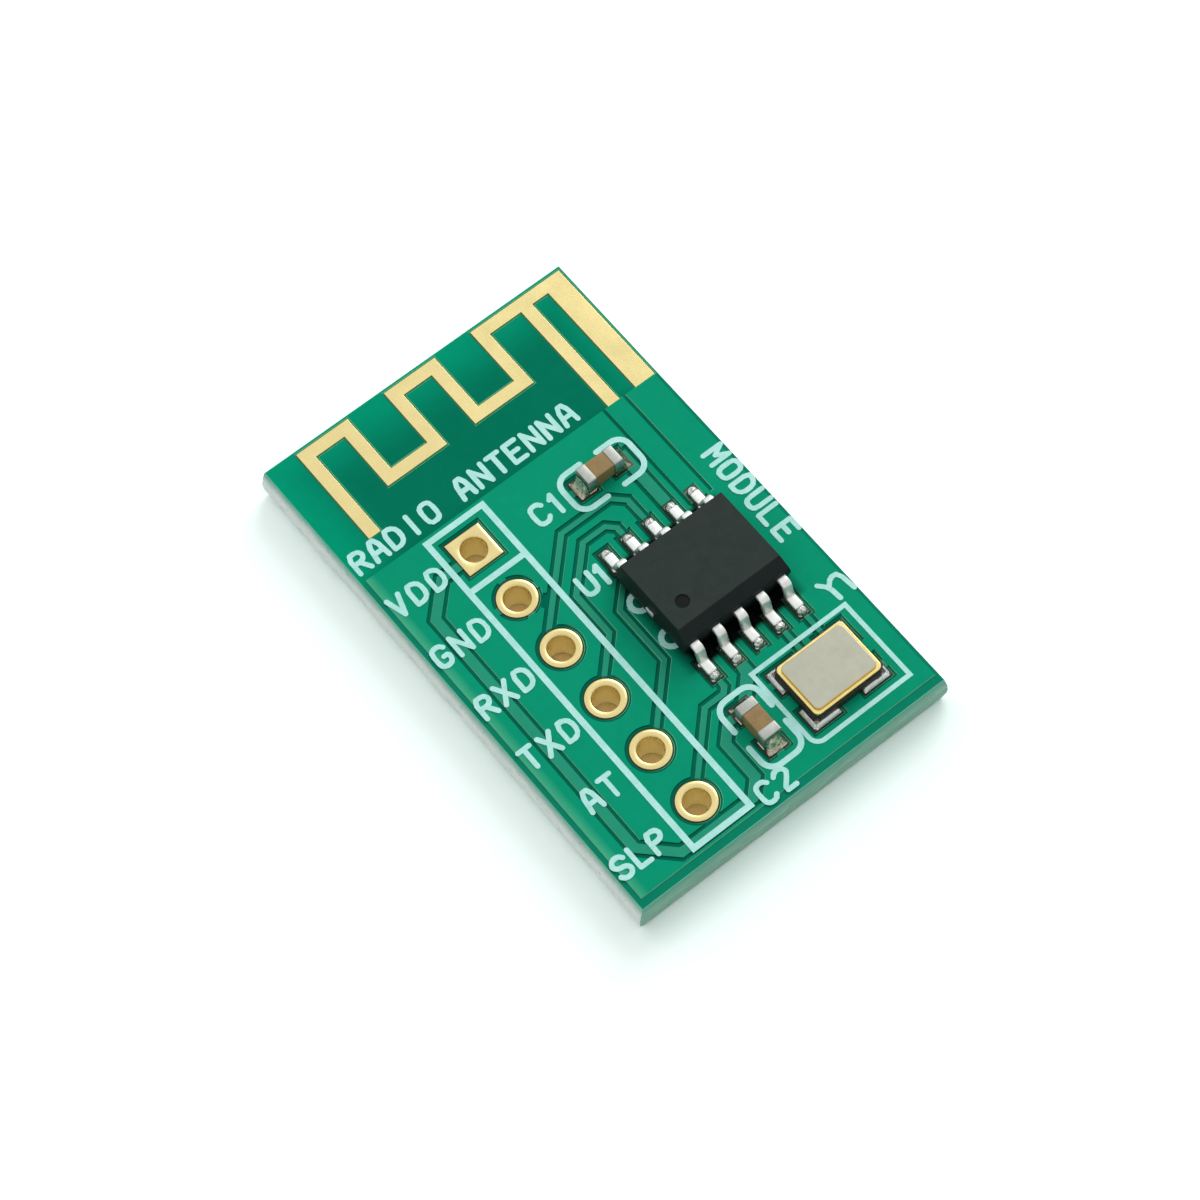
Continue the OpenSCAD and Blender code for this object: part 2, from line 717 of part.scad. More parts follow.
module legend_ink() {
    color("honeydew") translate([print_dx, print_dy, z_mask]) linear_extrude(ink_t) {
        header_box_2d();
        translate(c1_at) bracket_pair_2d();
        translate(c2_at) rotate(90) bracket_pair_2d();
        translate(xtal_at) crystal_frame_2d();
        chip_arcs_2d();
    }
}

// Stands a drawing of width and height upright, with its width along Y and its thickness along X
module across(t) {
    rotate([90, 0, 90]) linear_extrude(t, center = true) children();
}

// Stands a drawing of width and height upright, with its width along X and its thickness along Y
module along(t) {
    rotate([90, 0, 0]) linear_extrude(t, center = true) children();
}

// A moulded half draws in from the parting line to its face, and one long top edge is bevelled
module ic_block() {
    x = ic_l / 2;
    y = ic_w / 2;
    part = ic_h / 2;
    side = y - ic_draft * (ic_h - ic_bevel - part) / (ic_h - part);
    translate([ic_at.x, ic_at.y, z_foot + ic_standoff]) intersection() {
        along(ic_w) polygon([[ic_draft - x, 0], [x - ic_draft, 0], [x, part], [x - ic_draft, ic_h],
            [ic_draft - x, ic_h], [-x, part]]);
        across(ic_l) polygon([[ic_draft - y, 0], [y - ic_draft, 0], [y, part], [y - ic_draft, ic_h],
            [ic_draft - y + ic_bevel, ic_h], [-side, ic_h - ic_bevel], [-y, part]]);
    }
}

module ic_body() {
    color("dimgray") difference() {
        ic_block();
        for (k = [1:lead_count]) ic_lead(k);
        ic_paddle();
        ic_die();
        ic_bond_wires();
        translate([ic_at.x - dimple_x, ic_at.y - dimple_y, z_foot + ic_standoff + ic_h - dimple_depth]) {
            cylinder(d = dimple_d, h = over);
        }
    }
}

// A strip bent twice: out of the body, down to the board and along its land
module ic_lead(k) {
    line = [[finger_u, lead_rise], [ic_w / 2 + shoulder_l, lead_rise],
        [foot_u, lead_t / 2], [tip_u, lead_t / 2]];
    color("silver") translate([foot(k).x, ic_at.y, z_foot]) {
        mirror([0, lead_row(k) < 0 ? 1 : 0, 0]) across(lead_w) polygon(stroke(bent(line, lead_bend), lead_t));
    }
}

module on_paddle(z, l, w, t) {
    translate([ic_at.x - l / 2, ic_at.y - w / 2, z_foot + ic_standoff + z]) cube([l, w, t]);
}

// The plate that carries the die, with a bar at each end that shows at the body's parting line
module ic_paddle() {
    x = paddle_l / 2;
    low = lead_t / 2;
    bar = [[x - lead_t, low], [x + tie_run, low],
        [x + tie_run + tie_climb, ic_h / 2], [ic_l / 2 + tie_stub, ic_h / 2]];
    color("silver") {
        on_paddle(0, paddle_l, paddle_w, lead_t);
        translate([ic_at.x, ic_at.y, z_foot + ic_standoff]) for (m = [0, 1]) {
            mirror([m, 0, 0]) along(tie_w) polygon(stroke(bar, lead_t));
        }
    }
}

module ic_die() {
    color("slategray") on_paddle(lead_t, die_l, die_w, die_t);
}

module ic_bond_wires() {
    low = ic_standoff + lead_t + die_t;
    high = lead_rise + lead_t / 2;
    color("gold") for (k = [1:lead_count]) {
        a = [lead_x(k) / lead_pitch * bond_pitch, lead_row(k) * (die_w / 2 - bond_edge)];
        b = [lead_x(k), lead_row(k) * (finger_u + bond_edge)];
        d = norm(b - a);
        loop = [[0, low], [0, high + wire_rise], [d, high + wire_rise], [d, high]];
        translate([ic_at.x + a.x, ic_at.y + a.y, z_foot]) rotate(atan2(b.y - a.y, b.x - a.x)) {
            along(wire_t) polygon(stroke(loop, wire_t));
        }
    }
}

module ic_paddle_solder() {
    color("gainsboro") translate([ic_at.x, ic_at.y, z_copper]) linear_extrude(solder_t + ic_standoff) {
        square([paddle_l - 2 * solder_back, paddle_w - 2 * solder_back], center = true);
    }
}

// A sloping block of solder between a rectangle on its land and one higher up on the metal
module joint(low, high, h) {
    ends = [[low, 0], [high, h]];
    corners = [for (e = ends, c = [[0, 1], [2, 1], [2, 3], [0, 3]]) [e[0][c.x], e[0][c.y], e[1]]];
    sides = [for (i = [0:3]) [4 + i, 4 + (i + 1) % 4, (i + 1) % 4, i]];
    polyhedron(corners, concat([[0, 1, 2, 3], [7, 6, 5, 4]], sides));
}

// The rectangle of a land, as left, low, right and high side
function land_sides(p, back) = [p[0].x - p[1].x / 2 + back, p[0].y - p[1].y / 2 + back,
    p[0].x + p[1].x / 2 - back, p[0].y + p[1].y / 2 - back];

module lead_solder(first, last) {
    w = lead_w / 2 + solder_skin;
    color("gainsboro") for (k = [first:last]) {
        s = lead_row(k);
        ends = [ic_at.y + s * foot_u, ic_at.y + s * (tip_u + solder_skin)];
        high = [foot(k).x - w, min(ends), foot(k).x + w, max(ends)];
        difference() {
            translate([0, 0, z_copper]) joint(land_sides(lead_lands[k - 1], solder_back), high, lead_joint);
            ic_lead(k);
        }
    }
}

module base_2d() {
    difference() {
        square([xtal_l, xtal_w], center = true);
        for (x = [-1, 1], y = [-1, 1]) translate([x * xtal_l / 2, y * xtal_w / 2]) circle(notch_r);
    }
}

module on_crystal(z) {
    translate([xtal_at.x, xtal_at.y, z]) children();
}

module crystal_base() {
    color("darkslategray") on_crystal(base_z) difference() {
        linear_extrude(base_h) base_2d();
        translate([0, 0, base_h - cavity_depth]) linear_extrude(over) ring_hole_2d();
    }
}

module ring_hole_2d() {
    square(ring_size - [2 * ring_wall, 2 * ring_wall], center = true);
}

module crystal_seal_ring() {
    color("gold") on_crystal(ring_z) linear_extrude(ring_h) difference() {
        polygon(rounded(ring_size.x, ring_size.y, ring_r));
        ring_hole_2d();
    }
}

module crystal_lid() {
    size = ring_size - [2 * lid_inset, 2 * lid_inset];
    color("lightgray") on_crystal(ring_z + ring_h) linear_extrude(lid_t) {
        polygon(rounded(size.x, size.y, ring_r));
    }
}

module crystal_glue() {
    color("darkgray") on_crystal(ring_z - cavity_depth) for (s = [-1, 1]) {
        translate([glue_d - blank_l / 2, s * (blank_w / 2 - glue_d), 0]) cylinder(d = glue_d, h = glue_h);
    }
}

module crystal_blank() {
    color("lightcyan") on_crystal(ring_z - cavity_depth + glue_h) {
        translate([-blank_l / 2, -blank_w / 2, 0]) cube([blank_l, blank_w, blank_t]);
    }
}

module terminals_2d() {
    intersection() {
        base_2d();
        for (x = [-1, 1], y = [-1, 1]) translate([x * xtal_l / 2, y * xtal_w / 2]) {
            square([2 * terminal_l, 2 * terminal_w], center = true);
        }
    }
}

module crystal_terminals() {
    color("gold") on_crystal(z_foot) linear_extrude(terminal_t) terminals_2d();
}

module crystal_solder() {
    color("gainsboro") for (sx = [-1, 1], sy = [-1, 1]) {
        x = [xtal_at.x + sx * (xtal_l / 2 - terminal_l / 2), xtal_at.x + sx * (xtal_l / 2 + solder_skin)];
        y = [xtal_at.y + sy * (xtal_w / 2 - terminal_w / 2), xtal_at.y + sy * (xtal_w / 2 + solder_skin)];
        high = [min(x), min(y), max(x), max(y)];
        difference() {
            translate([0, 0, z_copper]) joint(land_sides(xtal_pad(sx, sy), solder_back), high, xtal_joint);
            on_crystal(z_foot) linear_extrude(over) base_2d();
        }
    }
}

// Capacitors lie along X; the second one is turned by a quarter
module chip_at(c) {
    at = c == 1 ? c1_at : c2_at;
    translate([at.x, at.y, z_copper]) rotate(c == 1 ? 0 : 90) children();
}

module chip_block(size, r) {
    translate([0, 0, solder_t + chip_h / 2]) across(size.x) polygon(rounded(size.y, size.z, r));
}

module chip_body(c) {
    color("tan") chip_at(c) chip_block(chip_size - 2 * [band_t, band_t, band_t], chip_r - band_t);
}

module chip_terminal(c, s) {
    color("silver") chip_at(c) difference() {
        translate([s * (chip_l - band_l) / 2, 0, 0]) chip_block([band_l, chip_w, chip_h], chip_r);
        chip_block(chip_size - 2 * [band_t, band_t, band_t], chip_r - band_t);
    }
}

module chip_solder(c) {
    w = chip_w / 2 + solder_skin;
    color("gainsboro") chip_at(c) for (s = [-1, 1]) {
        ends = [s * (chip_l - band_l) / 2, s * (chip_l / 2 + solder_skin)];
        low = land_sides([[s * chip_land_at, 0], chip_land], solder_back);
        difference() {
            joint(low, [min(ends), -w, max(ends), w], chip_joint);
            chip_block(chip_size, chip_r);
        }
    }
}

substrate();
top_ground_pour();
signal_tracks();
solder_lands();
antenna();
top_solder_mask();
bottom_ground_pour();
bottom_solder_mask();
legend_ink();
for (i = [1:pins]) plated_hole(i);
ic_body();
for (k = [1:lead_count]) ic_lead(k);
ic_paddle();
ic_die();
ic_bond_wires();
ic_paddle_solder();
lead_solder(1, row_count);  // ic_solder_low_row
lead_solder(row_count + 1, lead_count);  // ic_solder_high_row
crystal_base();
crystal_seal_ring();
crystal_lid();
crystal_blank();
crystal_glue();
crystal_terminals();
crystal_solder();
chip_body(1);  // c1_body
chip_terminal(1, -1);  // c1_terminal_a
chip_terminal(1, 1);  // c1_terminal_b
chip_solder(1);  // c1_solder
chip_body(2);  // c2_body
chip_terminal(2, -1);  // c2_terminal_a
chip_terminal(2, 1);  // c2_terminal_b
chip_solder(2);  // c2_solder
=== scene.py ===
# %% [markdown]
# # A small wireless module board
# The object is a green circuit board, 13.7 mm wide and 22 mm long. One end carries an antenna etched
# in copper and plated with gold. The rest carries a chip, a crystal, two capacitors and six plated holes.
# The CAD frame gives every piece its exact place. This lesson adds what CAD leaves out: edges that are a
# little round, solder that has flowed, torn glass fibres, printed letters, and materials made of nodes.

# %% Load the CAD frame
import math

import bmesh
import bpy
from mathutils import Matrix, Vector, noise


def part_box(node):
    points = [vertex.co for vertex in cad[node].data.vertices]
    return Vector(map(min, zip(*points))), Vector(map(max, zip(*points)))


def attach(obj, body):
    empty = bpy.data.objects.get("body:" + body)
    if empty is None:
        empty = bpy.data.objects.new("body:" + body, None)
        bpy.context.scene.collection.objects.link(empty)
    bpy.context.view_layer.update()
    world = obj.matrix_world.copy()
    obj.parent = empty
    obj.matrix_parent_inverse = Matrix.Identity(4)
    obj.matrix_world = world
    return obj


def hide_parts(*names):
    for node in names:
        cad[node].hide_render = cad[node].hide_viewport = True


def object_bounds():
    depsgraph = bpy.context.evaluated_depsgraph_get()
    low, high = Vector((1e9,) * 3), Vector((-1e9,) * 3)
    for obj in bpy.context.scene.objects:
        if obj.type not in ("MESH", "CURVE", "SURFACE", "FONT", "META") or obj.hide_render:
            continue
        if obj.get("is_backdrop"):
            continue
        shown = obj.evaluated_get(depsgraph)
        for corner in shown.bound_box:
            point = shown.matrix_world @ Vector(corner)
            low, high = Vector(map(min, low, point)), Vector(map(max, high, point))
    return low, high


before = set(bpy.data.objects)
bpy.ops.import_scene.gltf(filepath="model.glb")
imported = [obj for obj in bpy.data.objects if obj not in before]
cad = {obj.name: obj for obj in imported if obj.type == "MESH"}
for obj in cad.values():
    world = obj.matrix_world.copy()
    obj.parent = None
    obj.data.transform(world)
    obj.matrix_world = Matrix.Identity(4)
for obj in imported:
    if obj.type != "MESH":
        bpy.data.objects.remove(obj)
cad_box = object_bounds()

MM = 0.001
scene = bpy.context.scene
scene.view_settings.view_transform = "Standard"
board_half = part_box("substrate")[1].xy / MM
print(f"{len(cad)} CAD nodes, the board is {2 * board_half.x:.2f} by {2 * board_half.y:.2f} mm")

# %% [markdown]
# ## Camera
# A camera in Blender looks along its own -Z axis, with +X to the right of the picture and +Y up. It could
# be aimed with a Track To constraint, but that leaves its roll to chance. Three directions measured in the
# picture, written as the columns of a matrix, aim it exactly. The lens is a long one, close to a macro
# lens on a small studio table.

# %% Camera
view_right = Vector((0.78113, -0.62351, -0.0327))
view_up = Vector((0.57354, 0.69586, 0.43225))
view_back = Vector((-0.24676, -0.35639, 0.90116))
camera = bpy.data.objects.new("camera", bpy.data.cameras.new("camera"))
scene.collection.objects.link(camera)
camera.rotation_mode = "QUATERNION"
camera.rotation_quaternion = Matrix((view_right, view_up, view_back)).transposed().to_quaternion()
camera.location = Vector((-33.593, -48.477, 122.05)) * MM
camera.data.lens = 112.09
camera.data.sensor_width = 36
camera.data.clip_start = 10 * MM
scene.camera = camera
print(f"the camera stands {camera.location.length / MM:.0f} mm from the board")

# %% [markdown]
# ## Helpers for shader nodes
# Every finish below is a small tree of nodes. Adding a node, setting its values and linking its inputs
# takes three lines each time in plain bpy, so one helper does all three: an input that is given a socket
# is linked, and an input that is given a number or a colour is set. Four kinds of node come up again and
# again, so they get a short name each: a sum with numbers, a sum with vectors, a blend of two colours, and a
# ramp from one range to another. Colours are written as a screen shows them, from 0 to 255, and turned into
# light, which is what a shader works with.

# %% Node helpers
def set_inputs(tree, sockets, values):
    for name, value in values.items():
        if isinstance(value, bpy.types.NodeSocket):
            tree.links.new(value, sockets[name])
        else:
            sockets[name].default_value = value


def add_node(tree, kind, inputs, **settings):
    made = tree.nodes.new(kind)
    for name, value in settings.items():
        setattr(made, name, value)
    set_inputs(tree, made.inputs, inputs)
    return made.outputs


def calc(tree, operation, *values, **settings):
    return add_node(tree, "ShaderNodeMath", dict(enumerate(values)), operation=operation, **settings)[0]


def vector(tree, operation, inputs):
    return add_node(tree, "ShaderNodeVectorMath", inputs, operation=operation)


def blend(tree, share, low, high, **settings):
    inputs = {"Factor": share, 6: low, 7: high}
    return add_node(tree, "ShaderNodeMix", inputs, data_type="RGBA", **settings)[2]


def ramp(tree, value, start, end, low=0.0, high=1.0, **settings):
    inputs = {"Value": value, "From Min": start, "From Max": end, "To Min": low, "To Max": high}
    return add_node(tree, "ShaderNodeMapRange", inputs, **settings)[0]


def to_light(value):
    share = value / 255
    return ((share + 0.055) / 1.055) ** 2.4 if value > 10 else share / 12.92


def srgb(red, green, blue):
    return (to_light(red), to_light(green), to_light(blue), 1.0)


print("mid grey 128 is", round(srgb(128, 128, 128)[0], 3), "as light")

# %% [markdown]
# ## Table top
# The board lies on white paper, a hair below its underside.

# %% Table top
FLOOR_REACH = 600 * MM
FLOOR_DROP = 0.01 * MM
floor_mesh = bpy.data.meshes.new("table_top")
floor_corners = [(x * FLOOR_REACH, y * FLOOR_REACH, 0) for x, y in ((-1, -1), (1, -1), (1, 1), (-1, 1))]
floor_mesh.from_pydata(floor_corners, [], [(0, 1, 2, 3)])
floor = bpy.data.objects.new("table_top", floor_mesh)
floor.location.z = -FLOOR_DROP
scene.collection.objects.link(floor)
floor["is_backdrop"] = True
print(f"the table top is {2 * FLOOR_REACH / MM:.0f} mm wide")

# %% [markdown]
# ## White paper
# In a light tent the paper burns out to white, while its shadow stays soft and slightly green from the
# board. More light would give the white but bleach the object. Instead the paper is whiter for the rays
# that look at it than for the light that it throws back: the Light Path node tells one from the other.
# The paper that is looked at is also tinted green-blue. That tint burns out in the open and shows only in
# the shadow, as a painted tint standing in for the board's green light.
# Under the board, at the bottom of the holes, hardly any light arrives, and what does is tinted by the
# gold walls. That shade and tint are painted: there the paper's colour is darker and golden, but only
# from above.

# %% White paper
PAPER_LIT = (0.9, 0.9, 0.9, 1)
# green-blue tint: a painted stand-in for the board's green light in the shadow
PAPER_SEEN = (1.1, 1.21, 1.18, 1)
PAINTED_SHADE_IN_HOLES = (0.91, 0.79, 0.49, 1)
COVERED_SHARE = 0.93

table_white = bpy.data.materials.new("table_white")
table_white.use_nodes = True
tree = table_white.node_tree
tree.nodes.remove(tree.nodes["Principled BSDF"])
path = add_node(tree, "ShaderNodeLightPath", {})
seen = calc(tree, "MAXIMUM", path["Is Camera Ray"], path["Is Glossy Ray"])
seen = calc(tree, "MAXIMUM", seen, path["Is Transmission Ray"])
place = add_node(tree, "ShaderNodeTexCoord", {})["Object"]
per_half = (1 / board_half.x / MM, 1 / board_half.y / MM, 0)
share = vector(tree, "MULTIPLY", {0: place, 1: per_half})[0]
share = vector(tree, "ABSOLUTE", {0: share})[0]
share = add_node(tree, "ShaderNodeSeparateXYZ", {0: share})
# painted shade and gold tint under the board, for camera rays from above only
covered = calc(tree, "LESS_THAN", calc(tree, "MAXIMUM", share["X"], share["Y"]), COVERED_SHARE)
covered = calc(tree, "MULTIPLY", covered, path["Is Camera Ray"])
from_below = add_node(tree, "ShaderNodeNewGeometry", {})["Backfacing"]
covered = calc(tree, "SUBTRACT", covered, from_below, use_clamp=True)
looks = blend(tree, covered, PAPER_SEEN, PAINTED_SHADE_IN_HOLES)
paper = add_node(tree, "ShaderNodeBsdfDiffuse", {"Color": blend(tree, seen, PAPER_LIT, looks)})
tree.links.new(paper[0], tree.nodes["Material Output"].inputs["Surface"])
floor_mesh.materials.append(table_white)
print("paper:", len(tree.nodes), "nodes")

# %% [markdown]
# ## Light tent
# The tent is brightest behind the board, high up and a little to the right, and dims towards the camera's
# side. Several lamps could do that, but each would leave its own mirror image in the metal. A world that
# grows with the angle between two directions, a dot product, has no edges. Its dim side makes the dark
# sides of metal and the soft shadow along the two near edges. Shiny metal sees the tent a little brighter.

# %% Light tent
TENT_WAY = Vector((0.40, 0.60, 0.60)).normalized()
TENT_DIM = 0.2
TENT_SHINE = 0.8

world = bpy.data.worlds.new("light_tent")
scene.world = world
world.use_nodes = True
tree = world.node_tree
path = add_node(tree, "ShaderNodeLightPath", {})
way = add_node(tree, "ShaderNodeTexCoord", {})["Generated"]
along = vector(tree, "DOT_PRODUCT", {0: way, 1: TENT_WAY})["Value"]
level = calc(tree, "MAXIMUM", ramp(tree, along, -0.4, 0.6, TENT_DIM, 1.0), path["Is Camera Ray"])
level = calc(tree, "MAXIMUM", level, calc(tree, "MULTIPLY", path["Is Glossy Ray"], TENT_SHINE))
tree.nodes["Background"].inputs["Color"].default_value = (1, 1, 1, 1)
tree.links.new(level, tree.nodes["Background"].inputs["Strength"])
print("the tent is", round(1 / TENT_DIM), "times as bright behind the board as in front")

# %% [markdown]
# ## Key panel
# One soft panel on the bright side gives the shadows their direction. An area lamp is the natural choice,
# since a point or sun lamp would cut hard edges. Its power follows from how bright its face should be: for
# a flat panel that is radiance times pi times its area. It stays well off the way in which flat metal
# mirrors the camera, or the gold and the lid would burn out.

# %% Key panel
KEY_SIDE = 230 * MM
KEY_RADIANCE = 3.7

lamp = bpy.data.lights.new("key_panel", "AREA")
lamp.shape = "RECTANGLE"
lamp.size = KEY_SIDE
lamp.size_y = KEY_SIDE
lamp.energy = KEY_RADIANCE * math.pi * lamp.size * lamp.size_y
panel = bpy.data.objects.new("key_panel", lamp)
scene.collection.objects.link(panel)
panel.location = Vector((300, 190, 270)) * MM
panel.rotation_mode = "QUATERNION"
panel.rotation_quaternion = (-panel.location).to_track_quat("-Z", "Y")
print(f"the key panel gives {lamp.energy:.2f} W")

# %% [markdown]
# ## A shared effect: mottling
# No real surface has one colour. Plating, resin, ceramic and ink all vary in soft patches, and all have a
# fine grain that changes the gloss. The nodes could be copied into each material, but that is one effect
# with different values, so it is a node group: built once, and placed in each material with its own
# colours, its gloss range, and its patch and grain sizes in millimetres.

# %% Mottling group
mottle = bpy.data.node_groups.new("mottle", "ShaderNodeTree")
for name, kind in (("Light", "Color"), ("Dark", "Color"), ("Patch", "Float"), ("Grain", "Float"),
                   ("Smooth", "Float"), ("Rough", "Float")):
    mottle.interface.new_socket(name, in_out="INPUT", socket_type="NodeSocket" + kind)
for name, kind in (("Color", "Color"), ("Roughness", "Float"), ("Height", "Float")):
    mottle.interface.new_socket(name, in_out="OUTPUT", socket_type="NodeSocket" + kind)

given = add_node(mottle, "NodeGroupInput", {})
place = add_node(mottle, "ShaderNodeTexCoord", {})["Object"]
in_mm = vector(mottle, "SCALE", {0: place, "Scale": 1 / MM})[0]
per_patch = calc(mottle, "DIVIDE", 1.0, given["Patch"])
per_grain = calc(mottle, "DIVIDE", 1.0, given["Grain"])
patches = add_node(mottle, "ShaderNodeTexNoise", {"Vector": in_mm, "Scale": per_patch, "Detail": 3.0})["Fac"]
grain = add_node(mottle, "ShaderNodeTexNoise", {"Vector": in_mm, "Scale": per_grain, "Detail": 2.0})["Fac"]
spread = ramp(mottle, calc(mottle, "ADD", patches, grain), 0.7, 1.3)
tint = blend(mottle, spread, given["Dark"], given["Light"])
gloss = ramp(mottle, spread, 0.0, 1.0, given["Smooth"], given["Rough"])
add_node(mottle, "NodeGroupOutput", {"Color": tint, "Roughness": gloss, "Height": grain})
print("mottle group:", len(mottle.nodes), "nodes")

# %% [markdown]
# ## A maker of simple finishes
# Most finishes need the mottling and nothing else. They differ in colour, in grain and in a few values of
# the Principled shader, so one function makes them all. Values that are the same all over, such as
# Metallic, go on the shader's own socket. The bump is a few thousandths of a millimetre high, since that
# is what a plating bath or a steel mould leaves.

# %% Maker of finishes
def new_finish(name):
    made = bpy.data.materials.new(name)
    made.use_nodes = True
    return made, made.node_tree


def feed_shader(tree, **sockets):
    values = {name.replace("_", " "): value for name, value in sockets.items()}
    set_inputs(tree, tree.nodes["Principled BSDF"].inputs, values)


def mottled(tree, light, dark, patch, grain, gloss):
    smooth, rough = gloss
    values = {"Light": light, "Dark": dark, "Patch": patch, "Grain": grain, "Smooth": smooth, "Rough": rough}
    return add_node(tree, "ShaderNodeGroup", values, node_tree=mottle)


def bumped(tree, height, depth):
    return add_node(tree, "ShaderNodeBump", {"Height": height, "Strength": 1.0, "Distance": depth * MM})[0]


def finish(name, light, dark, patch, grain, gloss, bump=0.0, **sockets):
    made, tree = new_finish(name)
    effect = mottled(tree, srgb(*light), srgb(*dark), patch, grain, gloss)
    feed_shader(tree, Base_Color=effect["Color"], Roughness=effect["Roughness"], **sockets)
    if bump:
        feed_shader(tree, Normal=bumped(tree, effect["Height"], bump))
    return made


gold_plate = finish("gold_plate", (229, 212, 151), (223, 206, 144), patch=0.9, grain=0.06,
                    gloss=(0.22, 0.30), bump=0.0003, Metallic=1.0)
print("first finish:", gold_plate.name)

# %% [markdown]
# ## Metals
# The holes and the antenna are plated with gold, the leads and capacitor caps with tin. The crystal's lid
# is nickel, welded to a gold ring. Solder freezes with brighter and darker patches, so it has the widest
# range of colour. One grey metal for all would be quicker, but side by side on the board they differ in
# warmth and gloss, and that is how the eye tells them apart. Tin and satin solder are partly covered by
# a dull skin, so their Metallic is lower.

# %% Metals
bore_gold = finish("bore_gold", (255, 236, 176), (255, 228, 158), patch=0.5, grain=0.06,
                   gloss=(0.30, 0.45), bump=0.003, Metallic=1.0)
weld_gold = finish("weld_gold", (230, 196, 92), (212, 174, 70), patch=0.3, grain=0.04,
                   gloss=(0.28, 0.42), bump=0.001, Metallic=1.0)
ring_gold = finish("ring_gold", (240, 220, 148), (226, 204, 130), patch=0.4, grain=0.06,
                   gloss=(0.26, 0.36), bump=0.001, Metallic=1.0)
tin_plate = finish("tin_plate", (244, 246, 243), (226, 228, 225), patch=0.4, grain=0.03,
                   gloss=(0.26, 0.38), Metallic=0.72)
# the lands' tin is dark: a painted shade for the narrow gaps round the lands, where little light falls
shaded_land_tin = finish("shaded_land_tin", (92, 100, 90), (56, 64, 56), patch=0.15, grain=0.03,
                  gloss=(0.3, 0.5), bump=0.002, Metallic=1.0)
cap_tin = finish("cap_tin", (180, 184, 177), (158, 162, 155), patch=0.25, grain=0.03,
                 gloss=(0.34, 0.48), bump=0.001, Metallic=1.0)
cap_solder = finish("cap_solder", (222, 214, 192), (120, 116, 96), patch=0.14, grain=0.05,
                    gloss=(0.16, 0.36), bump=0.006, Metallic=1.0)
bright_solder = finish("bright_solder", (244, 245, 242), (120, 124, 116), patch=0.12, grain=0.04,
                       gloss=(0.18, 0.32), bump=0.003, Metallic=1.0)
satin_solder = finish("satin_solder", (255, 255, 254), (214, 216, 213), patch=0.14, grain=0.05,
                      gloss=(0.2, 0.3), bump=0.002, Metallic=0.4)
lid_nickel = finish("lid_nickel", (181, 181, 165), (176, 176, 160), patch=0.9, grain=0.3,
                    gloss=(0.26, 0.29), Metallic=1.0)
grey_silicon = finish("grey_silicon", (120, 124, 132), (96, 100, 110), patch=0.4, grain=0.05,
                      gloss=(0.12, 0.2), Metallic=1.0)
print("finishes so far:", len(bpy.data.materials) - 1)

# %% [markdown]
# ## Moulding compound, ceramic, quartz, glue and ink
# These let light in a little and throw most of it back without a mirror, so Metallic stays at 0 and a low
# Specular IOR Level keeps the dark ones dark. The chip's compound is matt and polished in the dimple. Its
# sides are darker, a painted shade, as if they were turned away from the light. One black would do for all
# three, but then the chip's edges would vanish.

# %% Other simple finishes
mould_compound = finish("mould_compound", (38, 52, 47), (28, 40, 36), patch=0.5, grain=0.035,
                        gloss=(0.42, 0.62), bump=0.003, Specular_IOR_Level=0.18)
mould_polished = finish("mould_polished", (12, 19, 18), (7, 12, 12), patch=0.3, grain=0.05,
                        gloss=(0.40, 0.52), bump=0.001, Specular_IOR_Level=0.12)
shaded_mould_side = finish("shaded_mould_side", (26, 37, 35), (18, 27, 26), patch=0.5, grain=0.035,
                    gloss=(0.42, 0.62), bump=0.003, Specular_IOR_Level=0.14)
black_ceramic = finish("black_ceramic", (44, 37, 32), (26, 22, 20), patch=0.3, grain=0.04,
                       gloss=(0.30, 0.5), bump=0.002, Specular_IOR_Level=0.3)
brown_ceramic = finish("brown_ceramic", (156, 130, 84), (134, 110, 68), patch=0.4, grain=0.03,
                       gloss=(0.30, 0.45), bump=0.001, Specular_IOR_Level=0.3)
quartz_blank = finish("quartz_blank", (225, 228, 230), (206, 210, 214), patch=0.4, grain=0.05,
                      gloss=(0.08, 0.16))
silver_glue = finish("silver_glue", (186, 186, 182), (150, 150, 146), patch=0.1, grain=0.02,
                     gloss=(0.4, 0.6), bump=0.002)
white_ink = finish("white_ink", (192, 240, 235), (162, 226, 218), patch=0.35, grain=0.05,
                   gloss=(0.45, 0.65), bump=0.002, Specular_IOR_Level=0.25)
print("simple finishes:", len(bpy.data.materials) - 1)

# %% [markdown]
# ## Solder mask: where on the board
# The green film is clear enough to see what lies under it, so its colour depends on the place. It could
# be painted as an image, but distances worked out from the object's own coordinates stay crisp at any
# size. The first nodes find how far a point is from the board's edge, whether it lies past the end of
# the ground pour, and how much light the cut edges let in through the glass and resin round the antenna.
# That light is painted into the film's colour as a glow.

# %% Solder mask: where on the board
GLOW_REACH = 2.6
BORDER_WIDTH = 0.41

mask_green, tree = new_finish("mask_green")
ground_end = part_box("top_ground_pour")[1].y / MM
place = add_node(tree, "ShaderNodeTexCoord", {})["Object"]
axes = add_node(tree, "ShaderNodeSeparateXYZ", {0: vector(tree, "SCALE", {0: place, "Scale": 1 / MM})[0]})
to_side = calc(tree, "SUBTRACT", board_half.x, calc(tree, "ABSOLUTE", axes["X"]))
to_end = calc(tree, "SUBTRACT", board_half.y, calc(tree, "ABSOLUTE", axes["Y"]))
to_edge = calc(tree, "MINIMUM", to_side, to_end)
border = ramp(tree, to_edge, BORDER_WIDTH - 0.03, BORDER_WIDTH + 0.03, 1.0, 0.0)
past_ground = ramp(tree, axes["Y"], ground_end - 0.3, ground_end + 0.3)
# painted glow: light let in by the cut edges, drawn into the film's colour
painted_glow = ramp(tree, to_edge, 0.0, GLOW_REACH, 1.0, 0.0, interpolation_type="SMOOTHSTEP")
painted_glow = calc(tree, "MULTIPLY", painted_glow, past_ground)
print(f"the ground pour ends at y = {ground_end:.2f} mm")
